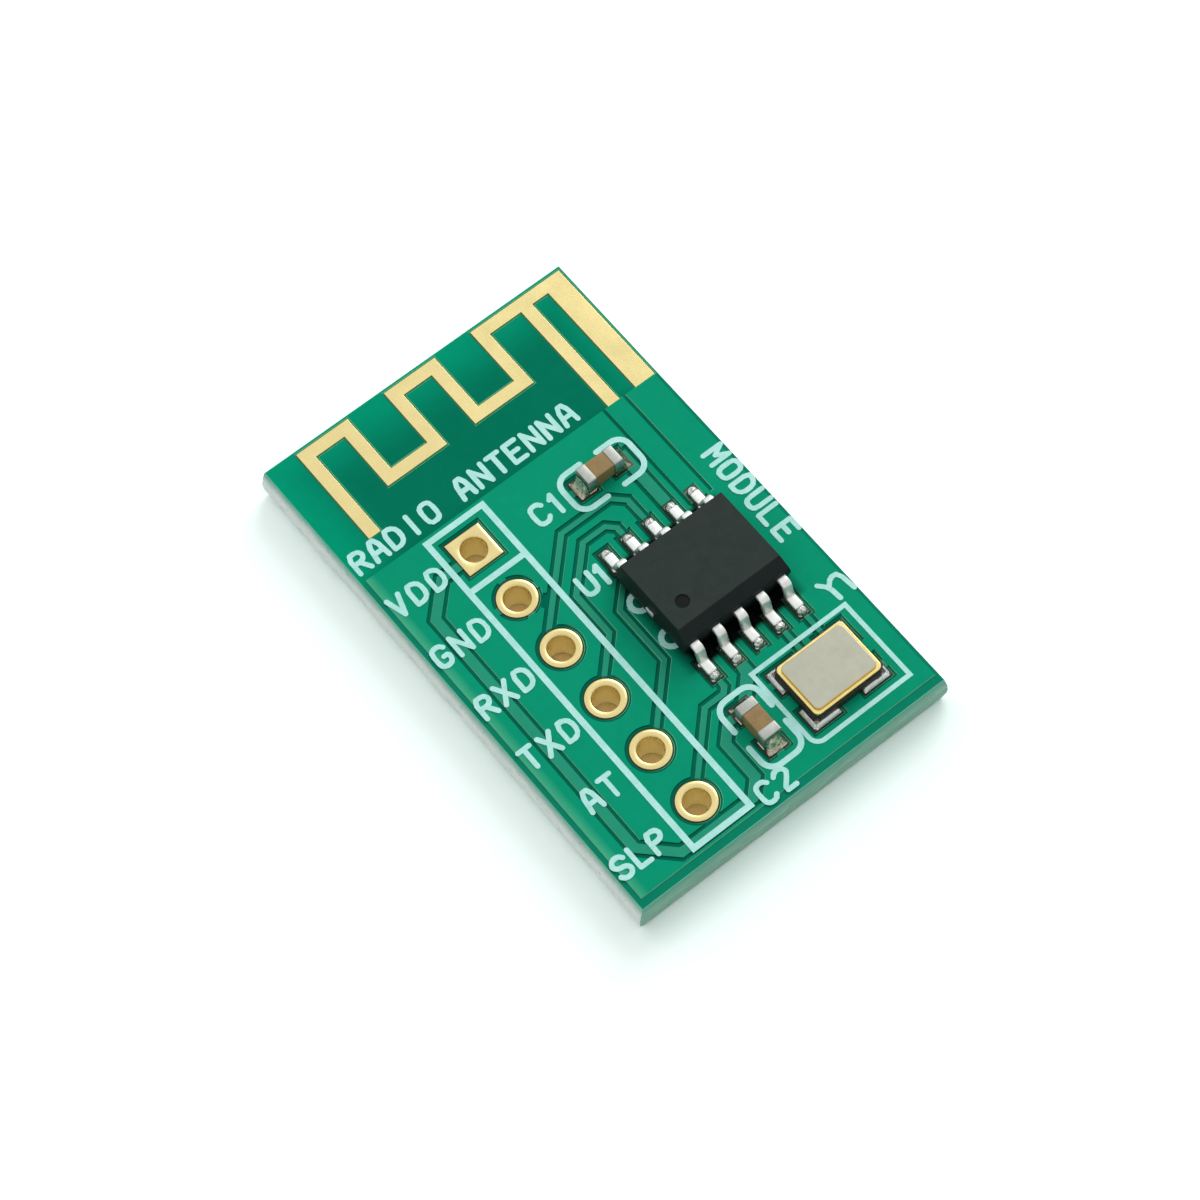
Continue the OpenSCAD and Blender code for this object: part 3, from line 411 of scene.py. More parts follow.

# %% [markdown]
# ## Solder mask: over laminate and down the steps
# Over bare laminate the film is dark, and brighter where the painted glow comes in. Where it drops off the
# edge of the copper it is thinnest. The steps that face left and back get a painted highlight. All round
# the border the steps are pale as well, partly because the copper's own edge shines through the thin film
# and partly as painted highlight, since steps that face right are left out. A dot product of the face's
# true normal with a direction says which way a step faces.

# %% Solder mask: laminate and steps
# painted light: the film is lighter along the border and past the end of the pour, where light comes through
# the laminate; the darker channels are partly thicker film and partly painted shade
channel = blend(tree, border, srgb(0, 106, 83), srgb(10, 131, 103))
channel = blend(tree, past_ground, channel, srgb(0, 117, 90))
over_laminate = blend(tree, painted_glow, channel, srgb(0, 152, 116))

true_normal = add_node(tree, "ShaderNodeNewGeometry", {})["True Normal"]
rightward = vector(tree, "DOT_PRODUCT", {0: true_normal, 1: (1, 0, 0)})["Value"]
outer = calc(tree, "MAXIMUM", border, past_ground)
outer = calc(tree, "MULTIPLY", outer, calc(tree, "LESS_THAN", rightward, 0.5))
left_back = vector(tree, "DOT_PRODUCT", {0: true_normal, 1: (-0.7, 0.7, 0)})["Value"]
# painted highlight on steps that face left and back, and on the border's steps
lit = calc(tree, "MAXIMUM", ramp(tree, left_back, 0.0, 0.6), outer)
down_step = blend(tree, lit, srgb(0, 104, 81), srgb(126, 216, 172))
print("film over laminate and steps:", len(tree.nodes), "nodes")

# %% [markdown]
# ## Solder mask: over copper
# Over the wide ground pour the film is bright green, warmer along the left edge. Over a narrow track it has
# run thin and looks greyer. Distance can't tell a track from the pour, so the mesh carries a number called
# film on each face, which is written further down from the shape itself: 0 for laminate, 0.5 for a step,
# 0.7 for a track and 1 for the pour. An Attribute node reads it here.

# %% Solder mask: copper
film = add_node(tree, "ShaderNodeAttribute", {}, attribute_name="film")["Fac"]
near_left = ramp(tree, axes["X"], 0.22 - board_half.x, 0.6 - board_half.x, 1.0, 0.0)
pour = blend(tree, near_left, srgb(10, 152, 116), srgb(70, 176, 136))
on_top = blend(tree, ramp(tree, film, 0.6, 0.9), srgb(50, 152, 124), pour)
over_copper = blend(tree, calc(tree, "GREATER_THAN", film, 0.6), down_step, on_top)
film_colour = blend(tree, calc(tree, "GREATER_THAN", film, 0.25), over_laminate, over_copper)
print("film over copper:", len(tree.nodes), "nodes")

# %% [markdown]
# ## Solder mask: under the chip
# Beneath the chip and between its leads hardly any light gets in, and the film is nearly black there. Light
# alone leaves it too green, so the shade is painted: the colour fades to black by the distance from the
# chip's box, on the top side only. At the end the mottling group breaks up the colour and gives the gloss
# and a faint bump.

# %% Solder mask: under the chip, and together
past_chip = []
for i, axis in enumerate("XY"):
    low, high = (corner[i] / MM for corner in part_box("ic_body"))
    off_middle = calc(tree, "SUBTRACT", axes[axis], (low + high) / 2)
    past_chip.append(calc(tree, "SUBTRACT", calc(tree, "ABSOLUTE", off_middle), (high - low) / 2))
sideways = ramp(tree, past_chip[0], -0.35, 0.3, 1.0, 0.0)
lengthways = ramp(tree, past_chip[1], 0.52, 0.7, 1.0, 0.0)
# painted shade under the chip and between its leads
painted_shade = calc(tree, "MULTIPLY", sideways, lengthways)
painted_shade = calc(tree, "MULTIPLY", painted_shade, calc(tree, "GREATER_THAN", axes["Z"], 0.8))
film_colour = blend(tree, painted_shade, film_colour, srgb(4, 16, 13))

effect = mottled(tree, (1, 1, 1, 1), (0.90, 0.93, 0.92, 1), patch=2.4, grain=0.35, gloss=(0.16, 0.3))
film_colour = blend(tree, 1.0, film_colour, effect["Color"], blend_type="MULTIPLY")
feed_shader(tree, Base_Color=film_colour, Roughness=effect["Roughness"],
            Normal=bumped(tree, effect["Height"], 0.002), Specular_IOR_Level=0.02)
print("solder mask:", len(tree.nodes), "nodes")

# %% [markdown]
# ## Laminate: the cut edges
# The core is glass cloth in resin, pressed in layers. The two long sides were snapped along a scored line,
# so they are pale with torn fibres and small pits, and partly painted light makes them paler still, so that
# the side on the tent's dim side stays pale. The two short ends were milled, so they are smoother and the
# grey-green resin shows. Towards the top the green film shines into the edge, as a painted glow. Two
# materials would need the faces sorted by hand, so one material reads which way a face points, and draws
# fibres as noise that is stretched along the edge and thin across the layers.

# %% Laminate: cut edges
laminate, tree = new_finish("laminate")
place = add_node(tree, "ShaderNodeTexCoord", {})
spot = add_node(tree, "ShaderNodeSeparateXYZ", {0: place["Object"]})
facing = add_node(tree, "ShaderNodeSeparateXYZ", {0: place["Normal"]})


def stretched_noise(scale, **values):
    stretched = add_node(tree, "ShaderNodeMapping", {"Vector": place["Object"], "Scale": scale})[0]
    return add_node(tree, "ShaderNodeTexNoise", {"Vector": stretched, "Scale": 1.0, **values})["Fac"]


fibres = stretched_noise((1400, 1400, 14000), Detail=4.0, Roughness=0.65)
streak = ramp(tree, fibres, 0.3, 0.7)
milled = blend(tree, streak, srgb(106, 167, 145), srgb(154, 205, 181))
# pale snapped sides: partly torn glass, partly painted light
snapped = blend(tree, streak, srgb(214, 236, 226), srgb(250, 255, 252))
pits = ramp(tree, stretched_noise((3000, 3000, 9000), Detail=2.0), 0.64, 0.74, 0.0, 0.7)
snapped = blend(tree, pits, snapped, srgb(120, 138, 124))
cut_edge = blend(tree, ramp(tree, calc(tree, "ABSOLUTE", facing["X"]), 0.35, 0.7), milled, snapped)
wavy_height = calc(tree, "MULTIPLY_ADD", fibres, 0.5 * MM, spot["Z"])
near_film = ramp(tree, wavy_height, 1.28 * MM, 1.84 * MM)
cut_edge = blend(tree, near_film, cut_edge, srgb(78, 166, 145))
print("cut edges:", len(tree.nodes), "nodes")

# %% [markdown]
# ## Laminate: the two faces
# The faces show only in the gaps that the film leaves round the lands and the antenna. Over the copper at
# the back they are dark. Past the end of the pour light comes through the board, and they are green. The
# fibres also drive the bump, so the torn sides catch light in streaks.

# %% Laminate: faces, and together
lying = calc(tree, "GREATER_THAN", calc(tree, "ABSOLUTE", facing["Z"]), 0.9)
past_pour = calc(tree, "GREATER_THAN", spot["Y"], ground_end * MM)
bare_face = blend(tree, past_pour, srgb(40, 58, 36), srgb(60, 132, 92))
feed_shader(tree, Base_Color=blend(tree, lying, cut_edge, bare_face), Normal=bumped(tree, fibres, 0.012),
            Roughness=0.6, Specular_IOR_Level=0.3)
print("laminate finish:", len(tree.nodes), "nodes")

# %% [markdown]
# ## Rounded copies
# A CAD mesh has razor edges and split corners, and real edges catch light because they are round. The
# frame's own meshes must stay as they are, so each rounded piece starts as a copy: join the split corners,
# merge the triangles of every flat face into one face, then bevel the edges that are left. A Bevel modifier
# could round them too, but it works on the triangles and leaves marks where they meet. A Weighted Normal
# modifier keeps the large faces flat while the bevels shade smoothly.

# %% Copies with round edges
FOLD = 30


def joined(node):
    bm = bmesh.new()
    bm.from_mesh(cad[node].data)
    bmesh.ops.remove_doubles(bm, verts=bm.verts, dist=0.0002 * MM)
    return bm


def copy_of(node):
    bm = joined(node)
    bmesh.ops.dissolve_limit(bm, angle_limit=math.radians(0.5), verts=bm.verts, edges=bm.edges)
    return bm


def is_sharp(edge, degrees=FOLD):
    return len(edge.link_faces) == 2 and edge.calc_face_angle() > math.radians(degrees)


def bevel(bm, edges, width, segments):
    bmesh.ops.bevel(bm, geom=edges, offset=width * MM, offset_type="OFFSET", segments=segments, profile=0.5,
                    affect="EDGES", clamp_overlap=True)


def round_copy(node, width, segments=2):
    bm = copy_of(node)
    bevel(bm, [e for e in bm.edges if is_sharp(e)], width, segments)
    return bm


sample = copy_of("antenna")
print("the antenna has", sum(is_sharp(e) for e in sample.edges), "edges to round")
sample.free()

# %% [markdown]
# ## From mesh to piece
# Every piece goes through the same last steps: mark which edges stay crisp, turn the bmesh into an object,
# give it its finish, hang it on the body it rides on, and hide the CAD nodes that it stands for. CAD nodes
# whose shape is right already stay in place and only get a finish.

# %% Helpers for pieces
def new_piece(name, bm, finishes, slot, *replaced, crease=40, smooth=True):
    for face in bm.faces:
        face.smooth = smooth
    for e in bm.edges:
        e.smooth = not is_sharp(e, crease)
    mesh = bpy.data.meshes.new(name)
    bm.to_mesh(mesh)
    bm.free()
    for one_finish in finishes:
        mesh.materials.append(one_finish)
    made = bpy.data.objects.new(name, mesh)
    scene.collection.objects.link(made)
    if smooth:
        made.modifiers.new("flat_faces", "WEIGHTED_NORMAL").keep_sharp = True
    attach(made, "root")
    if replaced:
        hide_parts(*replaced)
    print(f"{name}: {len(mesh.polygons)} faces")
    return made


def rounded_piece(name, node, width, one_finish, slot, segments=2):
    return new_piece(name, round_copy(node, width, segments), [one_finish], slot, node)


def dress(finish_of):
    for node, one_finish in finish_of.items():
        cad[node].data.materials.clear()
        cad[node].data.materials.append(one_finish)


copper_nodes = ("top_ground_pour", "bottom_ground_pour", "signal_tracks", "solder_lands")
# the copper takes the dark tin, a painted shade for the gaps round the lands
dress({node: shaded_land_tin for node in copper_nodes})
print(len(copper_nodes), "copper nodes dressed")

# %% [markdown]
# ## Patches of film
# The film follows the copper: it stands 0.05 mm higher over tracks than in the channels between them.
# Triangles that lie in one plane and touch make one patch of film. They could be merged into one face, but
# a face with a hundred holes shades badly, so they stay and are only collected. Twice the area of a patch
# over the length of its outline is roughly its width.

# %% Patches of film
def flat_patches(bm):
    left = set(bm.faces)
    found = []
    for first in bm.faces:
        if first not in left:
            continue
        left.remove(first)
        todo = [first]
        patch = []
        outline = 0.0
        while todo:
            face = todo.pop()
            patch.append(face)
            for e in face.edges:
                near = [f for f in e.link_faces if f is not face and f.normal.dot(face.normal) > 0.999]
                if not near:
                    outline += e.calc_length()
                elif near[0] in left:
                    left.remove(near[0])
                    todo.append(near[0])
        found.append((patch, 2 * sum(f.calc_area() for f in patch) / outline / MM))
    return found


sample = joined("top_solder_mask")
print("the top film has", len(flat_patches(sample)), "flat patches")
sample.free()

# %% [markdown]
# ## Soft rims
# Ink that was poured doesn't drop straight down, so the upper rim of each step is drawn in a little and the
# step becomes a slope. A bevel would be cleaner, but it fails where two rims are closer than its width.
# Moving single points has the same risk: a thin sliver of film may turn over. So the slivers that did are
# found by their normals, and their points are put back.

# %% Soft rims
RIM_DEPTH = 0.02 * MM


def is_wall(face):
    return abs(face.normal.z) < 0.5


def is_top(face, up):
    return face.normal.z * up > 0.9


def rim_move(v, up):
    walls = [f.normal for f in v.link_faces if is_wall(f)]
    tops = [f for f in v.link_faces if is_top(f, up)]
    others = [e.other_vert(v) for e in v.link_edges]
    below = [o for o in others if (v.co.z - o.co.z) * up > 0.001 * MM]
    if not (walls and tops and below):
        return None
    ways = [walls[0]] + [n for n in walls[1:] if n.dot(walls[0]) < 0.98][:1]
    mean = sum(ways, Vector()) / len(ways)
    return -mean / max(mean.length_squared, 0.3) * RIM_DEPTH


def draw_in_rims(bm, up):
    film_tops = [f for f in bm.faces if is_top(f, up)]
    moves = {v: rim_move(v, up) for v in bm.verts}
    moves = {v: move for v, move in moves.items() if move}
    for v, move in moves.items():
        v.co += move
    turned = True
    while turned:
        bm.normal_update()
        turned = {v for f in film_tops if f.normal.z * up < 0 for v in f.verts if v in moves}
        for v in turned:
            v.co -= moves.pop(v)


sample = joined("top_solder_mask")
draw_in_rims(sample, 1)
print("the top film has", len(sample.verts), "points, and none of its slivers is turned over")
sample.free()

# %% [markdown]
# ## The mask film
# Level and width tell what lies under a patch: a low one lies on laminate, a high and narrow one on a track,
# and a high and wide one on the pour. That goes on each face as the number film, which the green material
# reads. The film is shaded flat, because its long thin triangles would spoil smooth shading.

# %% Mask pieces
FILM_STEP, FILM_TRACK, FILM_POUR = 0.5, 0.7, 1.0
TRACK_WIDTH = 0.45


def mask_piece(name, node, up):
    bm = joined(node)
    levels = [f.calc_center_median().z * up for f in bm.faces if is_top(f, up)]
    middle = (max(levels) + min(levels)) / 2
    film_of = bm.faces.layers.float.new("film")
    for patch, width in flat_patches(bm):
        for face in patch:
            if is_wall(face):
                face[film_of] = FILM_STEP
            elif is_top(face, up) and face.calc_center_median().z * up > middle:
                face[film_of] = FILM_POUR if width > TRACK_WIDTH else FILM_TRACK
    draw_in_rims(bm, up)
    return new_piece(name, bm, [mask_green], "solder_mask", node, smooth=False)


mask_piece("mask_top", "top_solder_mask", 1)
mask_piece("mask_bottom", "bottom_solder_mask", -1)

# %% [markdown]
# ## The laminate board: cutting its walls
# Real board edges are never clean: the snapped long sides bulge a little in the middle, where the last web
# of glass tore. Displacement in the material wouldn't change the outline in the export, so real points have
# to move. A copy of the CAD core gets its four outer walls cut into a fine grid, and the rest stays coarse.

# %% Walls cut into a grid
WALL_STEP = 0.09
WALL_ROWS = 11


def on_outline(co):
    return (abs(abs(co.x) / MM - board_half.x) < 0.001, abs(abs(co.y) / MM - board_half.y) < 0.001)


def outer_walls(bm):
    return [f for f in bm.faces if abs(f.normal.z) < 0.1 and any(on_outline(f.calc_center_median()))]


def run_of(edge, axis):
    return abs(edge.verts[0].co[axis] - edge.verts[1].co[axis])


def cut_walls(bm):
    wall_edges = list(dict.fromkeys(e for f in outer_walls(bm) for e in f.edges))
    bmesh.ops.dissolve_limit(bm, angle_limit=math.radians(0.5), verts=[], edges=wall_edges)
    walls = outer_walls(bm)
    for axis in (0, 1):
        lying = list(dict.fromkeys(e for f in walls for e in f.edges if run_of(e, axis) > 5 * MM))
        bmesh.ops.subdivide_edges(bm, edges=lying, cuts=int(lying[0].calc_length() / MM / WALL_STEP))
    upright = [e for e in bm.edges if run_of(e, 2) > 1 * MM and all(any(on_outline(v.co)) for v in e.verts)]
    bmesh.ops.subdivide_edges(bm, edges=upright, cuts=WALL_ROWS)


board = joined("substrate")
cut_walls(board)
print("the board's core now has", len(board.verts), "points")

# %% [markdown]
# ## The laminate board: tearing its walls
# A sine gives the bulge across the thickness, and three sizes of noise make it uneven: slow waves, shreds
# along the glass layers, and fine crumbs. The rows at the two faces stay put, so the film still fits. The
# milled ends are moved much less than the snapped sides.

# %% Laminate board
BULGE = 0.15
WAVES = 0.08
SHREDS = 0.035
CRUMBS = 0.02
END_SHARE = 0.3
board_low, board_high = (corner.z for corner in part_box("substrate"))


def tear(co):
    share = (co.z - board_low) / (board_high - board_low)
    spot = co / MM
    bulge = math.sin(math.pi * share ** 0.7) * (BULGE + WAVES * noise.noise(spot * 0.9))
    rough = SHREDS * noise.noise(Vector((spot.x, spot.y * 3, spot.z * 7))) + CRUMBS * noise.noise(spot * 14)
    return (bulge + rough * min(1, 6 * share, 6 * (1 - share))) * MM


torn_points = 0
for v in board.verts:
    on_side, on_end = on_outline(v.co)
    if (on_side or on_end) and board_low + 1e-7 < v.co.z < board_high - 1e-7:
        push = tear(v.co)
        sideways = on_side * math.copysign(push, v.co.x)
        lengthways = on_end * math.copysign(END_SHARE * push, v.co.y)
        v.co += Vector((sideways, lengthways, 0))
        torn_points += 1
new_piece("laminate_board", board, [laminate], "laminate", "substrate", crease=70)
print(torn_points, "wall points moved")

# %% [markdown]
# ## Torn glass fibres
# Under a lens the snapped sides show loose ends of glass yarn. Blender has hair curves for such things, but
# they don't export as a mesh. So each is a thin three-sided hair with four rings of points, tapered and
# slightly bent. A seeded random generator scatters them, so that every run gives the same hairs.

# %% Glass fibres
import random

HAIRS_A_SIDE = 55
HAIR_BEND = 0.05 * MM
HAIR_TAPER = 0.8
draw = random.Random(11)
glass_fibre = finish("glass_fibre", (238, 243, 236), (214, 222, 212), patch=0.2, grain=0.03,
                     gloss=(0.3, 0.5), Specular_IOR_Level=0.4)


def hair(bm, start, run, thick):
    rings = []
    for k in range(4):
        t = k / 3
        middle = start + run * t + Vector((0, 0, HAIR_BEND * math.sin(math.pi * t)))
        width = thick * MM * (1 - HAIR_TAPER * t)
        around = [Vector((math.cos(a), 0.3 * math.cos(a), math.sin(a))) for a in (0.3, 2.4, 4.5)]
        rings.append([bm.verts.new(middle + width * way) for way in around])
    for a, b in zip(rings, rings[1:]):
        for i in range(3):
            bm.faces.new((a[i - 1], a[i], b[i], b[i - 1]))
    bm.faces.new(rings[0][::-1])
    bm.faces.new(rings[3])


bm = bmesh.new()
for side in (-1, 1):
    for _ in range(HAIRS_A_SIDE):
        start = Vector((side * (board_half.x + 0.01), draw.uniform(-10.6, 10.6), draw.uniform(0.3, 1.3))) * MM
        out = side * draw.uniform(0.03, 0.12)
        along = draw.choice((-1, 1)) * draw.uniform(0.15, 0.6)
        run = Vector((out, along, draw.uniform(-0.1, 0.1))) * MM
        hair(bm, start, run, draw.uniform(0.008, 0.016))
bmesh.ops.recalc_face_normals(bm, faces=bm.faces)
new_piece("glass_fibres", bm, [glass_fibre], "laminate")

# %% [markdown]
# ## Gold: the antenna
# The antenna is a flat strip, etched from the same copper as the tracks and plated with gold. Its outline is
# right in CAD, so a copy with rounded edges is enough.

# %% Antenna
rounded_piece("antenna_strip", "antenna", 0.015, gold_plate, "gold_plate")

# %% [markdown]
# ## Gold: the plated holes
# A plated hole is a tube with a rim on each face, and its lip is softly rounded by the plating bath. A bevel
# of the CAD copy would give the lip but not the slightly domed rim. So it is turned on a lathe: one outline
# of distances and heights is swept round the hole. For the square pad of the first pin the outer distance
# changes with the angle, so the same lathe makes both kinds. Points of the outline are measured from the
# bore's middle, or inward from the pad's edge.

# %% Plated holes
TURNS = 96
LIP = 0.07 * MM
RIM_EDGE = 0.025 * MM
DOME = 0.012 * MM
COPPER = 0.05 * MM
BARREL = 0.03 * MM


def rim_outline(bore, pad, face):
    bends = [math.radians(d) for d in (22, 45, 67, 90)]
    lip = [(bore + LIP * (1 - math.cos(a)), face - LIP * (1 - math.sin(a))) for a in bends]
    from_middle = [("bore", r, z) for r, z in [(bore, face - LIP)] + lip]
    from_edge = [("pad", r, z) for r, z in (
        (0.5 * (pad - bore - LIP) + RIM_EDGE, face + DOME), (RIM_EDGE, face),
        (RIM_EDGE * 0.3, face - RIM_EDGE * 0.3), (0, face - RIM_EDGE), (0, face - COPPER))]
    return from_middle + from_edge + [("bore", bore + BARREL, face - COPPER)]


def hole_rim(node):
    low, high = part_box(node)
    middle = (low + high) / 2
    pad = (high.x - low.x) / 2
    reaches = [math.hypot(*(v.co - middle).xy) for v in cad[node].data.vertices]
    bore = min(reaches)
    square = max(reaches) > 1.2 * pad
    upper = rim_outline(bore, pad, high.z)
    outline = upper + [(kind, r, 2 * middle.z - z) for kind, r, z in reversed(upper)]
    bm = bmesh.new()
    rings = []
    for k in range(TURNS):
        c, s = math.cos(2 * math.pi * k / TURNS), math.sin(2 * math.pi * k / TURNS)
        out = pad / max(abs(c), abs(s)) if square else pad
        reached = [(out - r if kind == "pad" else r, z) for kind, r, z in outline]
        rings.append([bm.verts.new((middle.x + r * c, middle.y + r * s, z)) for r, z in reached])
    for a, b in zip(rings, rings[1:] + rings[:1]):
        for i in range(len(outline)):
            wall = bm.faces.new((a[i - 1], b[i - 1], b[i], a[i]))
            wall.material_index = int(i == 0)
    bmesh.ops.recalc_face_normals(bm, faces=bm.faces)
    new_piece(node.replace("plated_hole", "hole_rim"), bm, (gold_plate, bore_gold), "gold_plate", node)
    return bore


bores = [hole_rim(f"plated_hole_{number}") for number in range(1, 7)]
print(f"six plated holes with a bore of {2 * bores[0] / MM:.2f} mm")

# %% [markdown]
# ## Printed legend: an alphabet of strokes
# The printed lines are CAD already and only need ink. The letters are the pin names and part marks that any
# such board carries. Blender's text objects would bring a typeface, and circuit boards don't have one: they
# use plotter letters, drawn with a round pen. So each letter is a few lines on a grid of 4 by 6, and round
# letters get their corners cut.

# %% Alphabet
ALPHABET = {
    " ": "", "1": "0.9,4.8 2,6 2,0", "2": "0,5 1,6 3,6 4,5 4,4 0,0 4,0",
    "A": "0,0 0.6,4.4 1.4,6 2.6,6 3.4,4.4 4,0|0.3,2.3 3.7,2.3", "C": "4,5 3,6 1,6 0,5 0,1 1,0 3,0 4,1",
    "D": "0,0 0,6 2.4,6 4,4.6 4,1.4 2.4,0 0,0", "E": "4,6 0,6 0,0 4,0|0,3.1 3.2,3.1",
    "G": "4,5 3,6 1,6 0,5 0,1 1,0 3,0 4,1 4,2.7 2.4,2.7", "I": "2,0 2,6", "L": "0,6 0,0 3.7,0",
    "M": "0,0 0,6 2,2.6 4,6 4,0", "N": "0,0 0,6 4,0 4,6", "O": "1,0 0,1 0,5 1,6 3,6 4,5 4,1 3,0 1,0",
    "P": "0,0 0,6 3,6 4,5 4,4 3,3 0,3", "R": "0,0 0,6 3,6 4,5 4,4 3,3 0,3|1.9,3 4,0",
    "S": "4,5 3,6 1,6 0,5 0,4 1,3.1 3,2.9 4,2 4,1 3,0 1,0 0,1", "T": "0,6 4,6|2,6 2,0",
    "U": "0,6 0,1 1,0 3,0 4,1 4,6", "V": "0,6 2,0 4,6", "X": "0,0 4,6|0,6 4,0",
    "n": "0,6.5 2.4,4.2 2.8,0|2.4,4.2 4.6,6.2 7.3,5.9 8,0"}
ROUND_LETTERS = "CDGOPRSU2n"
CELL = (0.125, 0.137)


def strokes(letter):
    for line in ALPHABET[letter].split("|"):
        path = [Vector([float(n) * c for n, c in zip(p.split(","), CELL)]) for p in line.split()]
        if letter in ROUND_LETTERS:
            turns = zip(path, path[1:], path[2:])
            bends = [q for a, b, c in turns for q in (b.lerp(a, 0.25), b.lerp(c, 0.25))]
            path = [path[0]] + bends + [path[-1]]
        yield from zip(path, path[1:])


print("an S takes", len(list(strokes("S"))), "strokes")

# %% [markdown]
# ## Printed legend: ink on the board
# Each straight run becomes a flat capsule, and neighbours overlap at the bends. Two faces at the same height
# would flicker there, so each stroke stands a hair higher than the one before. Ink varies a little in
# width, so noise swells and thins the strokes. The line by the antenna lies lower, since the film has no
# copper under it there.

# %% Letters
STROKE = 0.19
STROKE_SWELL = 0.15
STROKE_LIFT = 0.0007
END_TURNS = 6
ink_low, ink_high = (corner.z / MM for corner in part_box("legend_ink"))
film_low = ink_low - 0.05


def capsule(start, end, width):
    ahead = math.atan2(end.y - start.y, end.x - start.x)
    loop = []
    for middle, first in ((end, ahead - math.pi / 2), (start, ahead + math.pi / 2)):
        around = [first + math.pi * k / END_TURNS for k in range(END_TURNS + 1)]
        loop += [middle + Vector((math.cos(a), math.sin(a))) * width / 2 for a in around]
    return loop


def raise_ink(bm, loop, low, high):
    lower = [bm.verts.new(Vector((p.x, p.y, low)) * MM) for p in loop]
    upper = [bm.verts.new(Vector((p.x, p.y, high)) * MM) for p in loop]
    bm.faces.new(upper)
    bm.faces.new(lower[::-1])
    for i in range(len(loop)):
        bm.faces.new((lower[i - 1], lower[i], upper[i], upper[i - 1]))


def write(bm, text, start, level, turn, advance):
    around = Matrix.Rotation(math.radians(turn), 2)
    for k, letter in enumerate(text):
        for n, (a, b) in enumerate(strokes(letter)):
            width = STROKE * (1 + STROKE_SWELL * noise.noise(Vector((7 * k, 0.7 * n, start[1]))))
            loop = [around @ (p + Vector((k * advance, 0))) + Vector(start) for p in capsule(a, b, width)]
            raise_ink(bm, loop, level, level + ink_high - ink_low + STROKE_LIFT * n)


WORDS = [("VDD", (-6.58, 3.14), ink_low, 0, 0.85), ("GND", (-6.60, 0.57), ink_low, 0, 0.85),
         ("RXD", (-6.58, -1.96), ink_low, 0, 0.85), ("TXD", (-6.58, -4.51), ink_low, 0, 0.85),
         ("AT", (-5.93, -7.11), ink_low, 0, 0.85), ("SLP", (-6.68, -9.76), ink_low, 0, 0.78),
         ("C1", (-0.4, 2.80), ink_low, 0, 0.74), ("U1", (-0.82, -0.5), ink_low, 0, 0.66),
         ("C2", (-1.03, -10.76), ink_low, 0, 0.79), ("n", (5.72, -6.24), ink_low, 0, 0.79),
         ("MODULE", (5.9, 1.3), ink_low, -90, 0.79), ("RADIO ANTENNA", (-6.6, 5.45), film_low, 0, 0.79)]
bm = bmesh.new()
for text, start, level, turn, advance in WORDS:
    write(bm, text, start, level, turn, advance)
bmesh.ops.recalc_face_normals(bm, faces=bm.faces)
new_piece("legend_letters", bm, [white_ink], "ink", crease=60)
dress({"legend_ink": white_ink})
print(len(WORDS), "words in ink")

# %% [markdown]
# ## The chip's body
# The body is moulded compound: a matt skin from the mould, edges that are slightly round, sides in painted
# shade and a polished dimple at the first pin. Bevelling every edge would also widen the pockets of the
# leads, which the copy holds, so only the long edges near the outside are bevelled. Which face gets which
# finish is read from the way it points and from its height.

# %% Chip body
def is_outer_edge(e, middle, reach):
    share = max(abs((v.co - middle)[i]) / reach[i] for v in e.verts for i in (0, 1))
    return is_sharp(e) and e.calc_length() > 0.5 * MM and share > 0.75


bm = copy_of("ic_body")
low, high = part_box("ic_body")
bevel(bm, [e for e in bm.edges if is_outer_edge(e, (low + high) / 2, (high - low) / 2)], 0.06, 3)
for face in bm.faces:
    below_top = (high.z - face.calc_center_median().z) / MM
    if face.normal.z > 0.99 and 0.02 < below_top < 0.1 and face.calc_area() < 0.3 * MM * MM:
        face.material_index = 1
    # faces that don't point up take the painted shade of the sides
    elif face.normal.z < 0.85:
        face.material_index = 2
new_piece("chip_body", bm, (mould_compound, mould_polished, shaded_mould_side), "mould", "ic_body")
dress({"ic_die": grey_silicon, "ic_bond_wires": gold_plate, "ic_paddle_solder": bright_solder})

# %% [markdown]
# ## The chip's leads
# The leads are stamped and bent from tinned strip, so their edges are rounder than a machined part's. The
# bend is right in CAD, and a wide bevel on a copy gives the strip its soft look.

# %% Chip leads
LEADS = range(1, 11)
for number in LEADS:
    rounded_piece(f"chip_lead_{number}", f"ic_lead_{number}", 0.07, tin_plate, "tinned_metal", 3)
dress({"ic_paddle": tin_plate})

# %% [markdown]
# ## Solder that has flowed: finding the joints
# Molten solder wets the land and climbs the metal, and freezes as a smooth skin. CAD keeps a sloping block
# there, and one CAD node holds several joints. Points that hang together by edges make one joint, and the
# box round them is its land.

# %% Joints
def linked_points(bm):
    left = set(bm.verts)
    for first in bm.verts:
        if first in left:
            left.remove(first)
            todo = [first]
            group = []
            while todo:
                v = todo.pop()
                group.append(v.co.copy())
                near = [o for o in (e.other_vert(v) for e in v.link_edges) if o in left]
                left.difference_update(near)
                todo += near
            yield group


def joints(node):
    bm = copy_of(node)
    found = []
    for group in linked_points(bm):
        found.append([Vector([pick(c[i] for c in group) for i in range(3)]) / MM for pick in (min, max)])
    bm.free()
    return found


print("joints in the low row:", len(joints("ic_solder_low_row")))

# %% [markdown]
# ## Solder that has flowed: its skin
# Each joint becomes a height grid over its land: zero at the land's edge, highest where it touches the
# metal. A fluid simulation could find the shape, but surface tension leaves only two kinds, a hollow curve
# for thin fillets and a swollen one for drops, so a mix of the two is enough. Where the land hardly reaches
# past the metal, the solder stays low. A drop can sit on a lead's toe, and a notch can part the drops on
# the two sides of a corner.

# %% Skin of a joint
CORNER = 0.12
RIM_FADE = 0.012
CLIMB = 2.5
NOTCH_SLOPE = 1.5
TOE_REACH = 0.72
TOE_SWELL = 0.35


